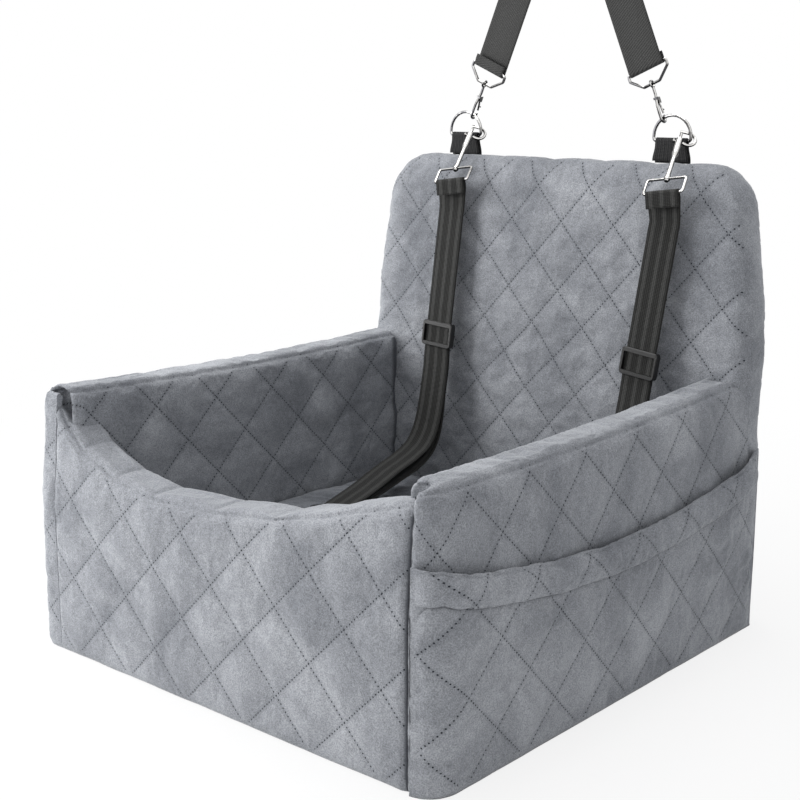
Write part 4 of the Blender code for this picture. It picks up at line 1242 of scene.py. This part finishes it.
    def backrest(self) -> None:
        """The backrest, remeshed from its foam core, quilted and edged with a seam."""
        lay = self.layout
        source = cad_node("backrest_foam")
        skin = source.copy()
        skin.data = source.data.copy()
        skin.name = "backrest_skin"
        bpy.context.scene.collection.objects.link(skin)
        skin.hide_render = False
        skin.hide_viewport = False
        remesh = skin.modifiers.new("remesh", "REMESH")
        remesh.mode = "VOXEL"
        remesh.voxel_size = 0.0030
        soften = skin.modifiers.new("soften", "SMOOTH")
        soften.iterations = 8
        apply_modifiers(skin)
        bm = bmesh.new()
        bm.from_mesh(skin.data)
        bm.normal_update()
        quilt = Quilt(0.060, 0.067, 0.0016)
        uv = bm.loops.layers.uv.new("Cloth")
        stitched = bm.verts.layers.float.new("stitch")
        soft = CLOTH_RELIEF
        moves = []
        held = []
        for vert in bm.verts:
            x, y, z = vert.co
            front = smooth_step(-vert.normal.y, 0.35, 0.8)
            rear = smooth_step(vert.normal.y, 0.35, 0.8)
            flat = max(front, rear)
            u = x + 0.012
            lean = lay.lean * max(z - lay.wall_height, 0.0) / 0.191
            seam = y - (lay.back_face + lean + 0.0125)
            rear_seam = y - (lay.back_face + lay.back_thick - 0.008)
            height = 0.0029 + soft * quilt.relief(u, z) * flat
            height += 0.0007 * noise.noise(vert.co * 20.0) + 0.0004 * noise.noise(vert.co * 55.0)
            height -= (1.0 - flat) * (0.0013 * groove(seam, 0.0024) + 0.0010 * groove(rear_seam, 0.0024))
            vert[stitched] = 1.0 if flat > 0.5 else 0.0
            moves.append((vert, vert.normal * height))
            line = flat > 0.3 and quilt.distance(u, z) < 0.0016
            if line or z < 0.09 or (flat < 0.5 and min(abs(seam), abs(rear_seam)) < 0.0015):
                held.append(vert.index)
        for face in bm.faces:
            for loop in face.loops:
                loop[uv].uv = (loop.vert.co.x + 0.012, loop.vert.co.z)
        for vert, move in moves:
            vert.co += move
            vert.co.z = max(vert.co.z, GROUND)
        for vert in bm.verts:
            high = smooth_step(vert.co.z, 0.205, 0.265)
            vert.co.x = vert.co.x * (1.022 - 0.022 * high) + 0.006 * high
        bm.to_mesh(skin.data)
        bm.free()
        skin.data.materials.clear()
        skin.data.materials.append(self.finishes.back)
        skin.data.shade_smooth()
        Swell(1.6, 0.015, 0.003).apply(skin, held)
        self.settle(skin, "quilted_velvet", "backrest_cover", "backrest_foam")

    def cushion(self) -> None:
        """The seat cushion with its crinkled top, dressed in the darker velvet that carries painted shade."""
        low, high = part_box("seat_cushion")
        middle = (low + high) / 2
        half = (high - low) / 2
        count = 150

        def spot(s: float, k: int) -> Spot:
            """Point on the cushion's top and sides."""
            a, b = 2 * s - 1, 2 * k / count - 1
            edge = max(abs(a), abs(b))
            round_off = max(edge - 0.88, 0.0) / 0.12
            scale = 1.0 if edge <= 0.88 else (0.88 + 0.12 * math.sin(round_off * math.pi / 2)) / edge
            place = Vector((middle.x + half.x * a * scale, middle.y + half.y * b * scale, 0.0))
            crown = 0.006 * (1 - (edge * 0.98) ** 4)
            place.z = high.z - 0.0105 + crown - 0.024 * (1.0 - math.cos(round_off * math.pi / 2))
            folds = 0.0022 * noise.noise(place * 34.0) + 0.0012 * noise.noise(place * 85.0)
            return Spot(place, 2 * half.x * s, 2 * half.y * k / count, 0.0, folds, edge > 0.97)

        skin = Skin("cushion_skin", spot, count, count, self.finishes.thin, crinkle=0.0,
                    swell=Swell(0.6, 0.045, 0.0035, 12, 8.0, 0.05))
        self.settle(skin.build(), "cushion_velvet", "seat_cushion")

    def base(self) -> None:
        """The foam block under the cushion."""
        low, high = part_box("base_foam")
        bm = bmesh.new()
        bmesh.ops.create_cube(bm, size=1.0)
        bmesh.ops.scale(bm, vec=high - low, verts=bm.verts)
        bmesh.ops.translate(bm, vec=(high + low) / 2, verts=bm.verts)
        bmesh.ops.bevel(bm, geom=bm.edges[:], offset=0.003, segments=3, profile=0.5, affect="EDGES",
                        material=-1)
        self.settle(add_mesh("base_block", bm, self.finishes.foam), "foam", "base_foam")

    @staticmethod
    def settle(obj: bpy.types.Object, slot: str, *nodes: str) -> None:
        """Attach a finished soft piece of the bed to its body, hide the CAD nodes that it stands for and log
        its face count.

        Args:
            obj: The piece.
            slot: Not used.
            nodes: The CAD nodes that it stands for.
        """
        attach(obj, "bed")
        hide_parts(*nodes)
        log.info("%s: %d faces", obj.name, len(obj.data.polygons))


@dataclass(frozen=True)
class TetherRoute:
    """Where one tether's webbing runs, as in the CAD model."""

    side: Side
    bar: Vector
    run_top: Vector
    run_end: Vector
    bends: tuple[tuple[float, float, float], ...]
    lower_bar: Vector
    heading: Vector
    bar_along: Vector = fixed(0.98236, 0.13477, 0.12963)


TETHERS = (
    TetherRoute(
        Side.LEFT, fixed(-0.09787, 0.17457, 0.40305), fixed(-0.1010, 0.1810, 0.37705),
        fixed(-0.1105, 0.1695, 0.23205),
        ((-0.1095, 0.1650, 0.2051), (-0.1065, 0.1510, 0.1611), (-0.1042, 0.1350, 0.1391),
         (-0.1010, 0.1100, 0.1291), (-0.0975, 0.0780, 0.1221), (-0.0935, 0.0400, 0.1121)),
        fixed(-0.0895, -0.0030, 0.1007), fixed(0.0901, -0.9959, 0.0),
    ),
    TetherRoute(
        Side.RIGHT, fixed(0.14813, 0.17457, 0.40305), fixed(0.1480, 0.1810, 0.37705),
        fixed(0.1315, 0.1695, 0.23205),
        ((0.1300, 0.1650, 0.2051), (0.1290, 0.1510, 0.1611), (0.1270, 0.1350, 0.1391),
         (0.1240, 0.1100, 0.1291), (0.1210, 0.0800, 0.1211), (0.1170, 0.0450, 0.1121)),
        fixed(0.1130, 0.0030, 0.1007), fixed(-0.0901, -0.9959, 0.0),
    ),
)


@dataclass
class Straps:
    """Every flat webbing: the tethers, the headrest strap and the tabs of the D-rings."""

    finishes: Wardrobe
    gap: float = 0.0003
    thick: float = 0.0014
    hem: float = 0.013
    steps: int = 10

    def build(self) -> None:
        """Build the webbings."""
        for route in TETHERS:
            self.tether(route)
        self.headrest()
        for side in Side:
            self.tab(side)

    def tether(self, route: TetherRoute) -> None:
        """One tether's webbing, from its front hem over both eyes' bars and back to its slider.

        Args:
            route: Where it runs.
        """
        turn = 0.0013 + self.gap + self.thick / 2
        back = (Y_AXIS - route.bar_along * route.bar_along.y).normalized()
        up = route.bar_along.cross(back)
        across = route.heading.cross(-Z_AXIS)
        bar, lower = route.bar, route.lower_bar
        head = [bar - back * (turn + self.gap) - up * self.hem, bar - back * turn - up * 2 * turn]
        points = [head[0].lerp(head[1], i / 5) for i in range(5)]
        points += [head[1], *arc(bar, turn, 180.0, 0.0, 10, back, up), bar + back * turn - up * 2 * turn]
        sides = [route.bar_along.copy() for _ in points]
        run = route.run_end - route.run_top
        for i in range(24):
            share = i / 24
            points.append(route.run_top + run * share)
            sides.append(X_AXIS.copy())
        ahead = run.normalized()
        bends = [Vector(bend) for bend in route.bends] + [lower + Z_AXIS * turn]
        curve = smooth_path([route.run_end - ahead * 0.030, route.run_end, *bends], self.steps)[self.steps:]
        total = len(curve) - 1
        for i, point in enumerate(curve):
            points.append(point)
            sides.append(X_AXIS.lerp(across, i / total))
        end = len(points) - 1
        for point in arc(lower, turn, 90.0, -90.0, 10, route.heading, Z_AXIS)[1:]:
            points.append(point)
            sides.append(across.copy())
        for i in range(end - 1, end - total - 1, -1):
            share = (end - i) / total
            along = (points[i + 1] - points[i - 1]).normalized()
            normal = sides[i].cross(along).normalized()
            layer = self.thick + 2 * self.gap
            spread = layer + (2 * turn - layer) * max(0.0, 1.0 - share * 28 / 3)
            spread += 0.009 * math.sin(math.pi * min(share * 1.25, 1.0))
            points.append(points[i] + normal * spread)
            sides.append(sides[i])
        normal = X_AXIS.cross(ahead).normalized() * (self.thick + 2 * self.gap)
        for back_off in (0.004, 0.008, 0.0116):
            points.append(route.run_end - ahead * back_off + normal)
            sides.append(X_AXIS.copy())
        label = route.side.label
        ribbon = Ribbon(label + "_tether_ribbon", points, sides, 0.032, self.finishes.tether)
        self.settle(ribbon.build(), label + "_tether", "ribbed_webbing", label + "_tether_webbing")

    def headrest(self) -> None:
        """The strap over the headrest, folded round both loops, with its twist over the top."""
        tilt = math.radians(23.0)
        turn = 0.0014 + self.gap + self.thick / 2
        up = Vector((math.sin(tilt), 0.0, math.cos(tilt)))
        side = Vector((math.cos(tilt), 0.0, -math.sin(tilt)))
        bar = Vector((-0.09277, 0.230, 0.51430))
        straight = 2.5 * turn
        hem_top = bar + up * 0.0085 - Y_AXIS * (turn - self.gap)
        hem_low = bar + up * straight - Y_AXIS * turn
        points = [hem_top.lerp(hem_low, i / 4) for i in range(4)] + [hem_low]
        points += arc(bar, turn, 270.0, 90.0, 10, up, Y_AXIS)
        start = bar + up * straight + Y_AXIS * turn
        twist = start + up * ((0.622 - start.z) / up.z)
        points += [start.lerp(twist, i / 16) for i in range(17)]
        sides = [side.copy() for _ in points]
        arch = 0.058
        reach = -twist.x
        over = [
            twist - up * 0.01, twist, twist + up * (0.33 * arch / up.z),
            Vector((-0.60 * reach, bar.y + 0.6 * turn, 0.622 + 0.62 * arch)),
            Vector((-0.36 * reach, bar.y + 0.3 * turn, 0.622 + 0.88 * arch)), Vector((0.0, bar.y, 0.680)),
        ]
        curve = smooth_path(over, self.steps)[self.steps + 1:]
        for i, point in enumerate(curve):
            angle = math.radians(90.0) * (i + 1) / len(curve)
            points.append(point)
            sides.append(side * math.cos(angle) + Y_AXIS * math.sin(angle))
        points += [Vector((-p.x, 2 * bar.y - p.y, p.z)) for p in reversed(points[:-1])]
        sides += [Vector((w.x, w.y, -w.z)) for w in reversed(sides[:-1])]
        ribbon = Ribbon("headrest_ribbon", points, sides, 0.038, self.finishes.strap)
        self.settle(ribbon.build(), "headrest", "strap_webbing", "headrest_strap")

    def tab(self, side: Side) -> None:
        """A tab folded round its D-ring's bar, wider where it is sewn into the seam.

        Args:
            side: Which tab.
        """
        turn = 0.0015 + self.gap + self.thick / 2
        centre = Vector((side.value * RING_BAR.x, RING_BAR.y, RING_BAR.z))
        low = Vector((0.0, 0.0, -0.0185))
        front, rear = centre - Y_AXIS * turn, centre + Y_AXIS * turn
        points = [(front + low).lerp(front, i / 8) for i in range(8)]
        points += arc(centre, turn, 180.0, 0.0, 12, Y_AXIS, Z_AXIS)
        points += [rear.lerp(rear + low + Z_AXIS * -0.002, (i + 1) / 8) for i in range(8)]
        widths = [0.033 + 0.005 * smooth_step(centre.z - point.z, 0.004, 0.018) for point in points]
        sides = [X_AXIS.copy() for _ in points]
        ribbon = Ribbon(side.label + "_tab_ribbon", points, sides, 0.033, self.finishes.tab, widths=widths)
        self.settle(ribbon.build(), "bed", "tab_webbing", side.label + "_webbing_tab")

    @staticmethod
    def settle(obj: bpy.types.Object, body: str, slot: str, node: str) -> None:
        """Attach a finished webbing to its body, hide the CAD node that it stands for and log its face count.

        Args:
            obj: The webbing.
            body: The CAD body that it rides on.
            slot: Not used.
            node: The CAD node that it stands for.
        """
        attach(obj, body)
        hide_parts(node)
        log.info("%s: %d faces", obj.name, len(obj.data.polygons))


FRAME: dict[str, object] = {}


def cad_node(name: str) -> bpy.types.Object:
    """A CAD node's object."""
    return FRAME["nodes"][name]


def apply_modifiers(obj: bpy.types.Object) -> None:
    """Bake an object's modifiers into its mesh.

    Args:
        obj: The object.
    """
    bpy.context.view_layer.update()
    graph = bpy.context.evaluated_depsgraph_get()
    mesh = bpy.data.meshes.new_from_object(obj.evaluated_get(graph))
    obj.modifiers.clear()
    obj.data = mesh


@dataclass
class Hardware:
    """CAD nodes that are shown as they are, with their finishes."""

    finishes: Wardrobe

    def dress(self) -> None:
        """Give each shown CAD node its finish."""
        for name, node in FRAME["nodes"].items():
            node.data.materials.clear()
            node.data.materials.append(self.finish_of(name))
            node.data.shade_smooth()
            node.data.set_sharp_from_angle(angle=math.radians(35.0))
        for side in Side:
            for height in ("upper", "lower"):
                self.press_spring(f"{side.label}_{height}_snap")

    @staticmethod
    def press_spring(snap: str, travel: float = 0.0065) -> None:
        """Give a bolt's spring its own copy of its mesh.

        Args:
            snap: The snap's name.
            travel: Not used.
        """
        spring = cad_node(snap + "_spring")
        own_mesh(spring)

    def finish_of(self, name: str) -> bpy.types.Material:
        """The finish of a CAD node that stays in sight; those that are replaced never show theirs.

        Args:
            name: The node's name.

        Returns:
            Its material.
        """
        choices = (
            ("nonslip", self.finishes.nonslip), ("slider", self.finishes.plastic),
            ("_spring", self.finishes.steel),
        )
        for key, material in choices:
            if key in name:
                return material
        return self.finishes.nickel


# Studio


@dataclass
class Studio:
    """Camera, lights, floor and world. The focal length and the picture's width are in pixels."""

    place: tuple[float, float, float] = (0.8289, -0.9577, 0.500)
    pitch: float = 12.46
    turn: float = 41.3
    focal: float = 1435.0
    picture: float = 800.0
    sensor: float = 36.0
    floor_shade: float = 0.74
    floor_fade: float = 0.25
    light_strength: float = 0.55

    def build(self) -> None:
        """Set the studio up."""
        self.camera()
        self.lights()
        self.floor()
        self.world()
        bpy.context.scene.view_settings.view_transform = "Standard"

    def camera(self) -> None:
        """Place the camera where the photograph was taken."""
        data = bpy.data.cameras.new("camera")
        data.sensor_width = self.sensor
        data.lens = self.focal / self.picture * self.sensor
        data.clip_end = 50.0
        camera = bpy.data.objects.new("camera", data)
        camera.location = self.place
        camera.rotation_euler = Euler((math.radians(90.0 - self.pitch), 0.0, math.radians(self.turn)))
        bpy.context.scene.collection.objects.link(camera)
        bpy.context.scene.camera = camera

    def lights(self) -> None:
        """Soft boxes: a key from the left front, a fill and a top."""
        self.area("key", (-0.85, -0.70, 0.60), (-0.15, -0.1, 0.12), 0.7, 12.0)
        self.area("fill", (1.4, -1.5, 1.1), (0.1, 0.2, 0.35), 1.2, 4.0)
        self.area("top", (-0.3, 0.1, 2.2), (0.0, 0.0, 0.0), 1.5, 20.0)

    @staticmethod
    def area(name: str, place: Sequence[float], target: Sequence[float], size: float, power: float) -> None:
        """Add one soft box.

        Args:
            name: Its name.
            place: Where it stands.
            target: What it points at.
            size: Its width in metres.
            power: Its power in watts.
        """
        data = bpy.data.lights.new(name, "AREA")
        data.size = size
        data.energy = power
        light = bpy.data.objects.new(name, data)
        light.location = place
        light.rotation_euler = (Vector(target) - Vector(place)).to_track_quat("-Z", "Y").to_euler()
        bpy.context.scene.collection.objects.link(light)

    def floor(self) -> None:
        """A white floor, which the camera and the metal see as white apart from the seat's soft shadow."""
        net = NodeTree("floor_white")
        net.surface(Base_Color=(0.90, 0.90, 0.90, 1.0), Roughness=0.9)
        glow = net.add("ShaderNodeEmission")
        path = net.add("ShaderNodeLightPath")
        blend = net.add("ShaderNodeMixShader")
        split = net.add("ShaderNodeSeparateXYZ")
        net.feed(net.add("ShaderNodeTexCoord").outputs["Object"], split.inputs[0])
        far = net.math("SQRT", net.math("ADD", net.math("POWER", split.outputs["X"], 2.0),
                                        net.math("POWER", split.outputs["Y"], 2.0)))
        share = net.math("ADD", net.math("MULTIPLY", far, self.floor_fade), self.floor_shade)
        share = net.math("MINIMUM", share, 1.0)
        direct = net.math("MAXIMUM", path.outputs["Is Camera Ray"], path.outputs["Is Glossy Ray"])
        net.feed(net.math("MULTIPLY", direct, share), blend.inputs["Fac"])
        net.tree.links.new(net.shader.outputs[0], blend.inputs[1])
        net.tree.links.new(glow.outputs[0], blend.inputs[2])
        net.tree.links.new(blend.outputs[0], net.tree.nodes["Material Output"].inputs["Surface"])
        bm = bmesh.new()
        bmesh.ops.create_grid(bm, x_segments=1, y_segments=1, size=20.0)
        bmesh.ops.translate(bm, vec=(0.0, 0.0, -GROUND), verts=bm.verts)
        add_mesh("floor", bm, net.material)

    def world(self) -> None:
        """White where the camera looks, and a softer white for the light."""
        world = bpy.data.worlds.new("studio")
        world.use_nodes = True
        tree = world.node_tree
        tree.nodes.clear()
        out, mix, seen, lit, path, glossy = (
            tree.nodes.new("ShaderNode" + kind)
            for kind in ("OutputWorld", "MixShader", "Background", "Background", "LightPath", "Math"))
        glossy.operation = "MAXIMUM"
        for node, colour, strength in ((seen, (1.0, 1.0, 1.0, 1.0), 1.0),
                                       (lit, (0.97, 0.98, 1.0, 1.0), self.light_strength)):
            node.inputs["Color"].default_value = colour
            node.inputs["Strength"].default_value = strength
        for source, target in (
            (path.outputs["Is Camera Ray"], glossy.inputs[0]),
            (path.outputs["Is Glossy Ray"], glossy.inputs[1]),
            (glossy.outputs[0], mix.inputs[0]),
            (lit.outputs[0], mix.inputs[1]),
            (seen.outputs[0], mix.inputs[2]),
            (mix.outputs[0], out.inputs[0]),
        ):
            tree.links.new(source, target)
        bpy.context.scene.world = world


def main() -> None:
    """Build the looks and the studio."""
    logging.basicConfig(level=logging.INFO, format="%(name)s: %(message)s")
    FRAME.update(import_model())
    finishes = Wardrobe()
    Hardware(finishes).dress()
    Bed(Layout(), finishes).build()
    Straps(finishes).build()
    Studio().build()


if __name__ == "__main__":
    main()
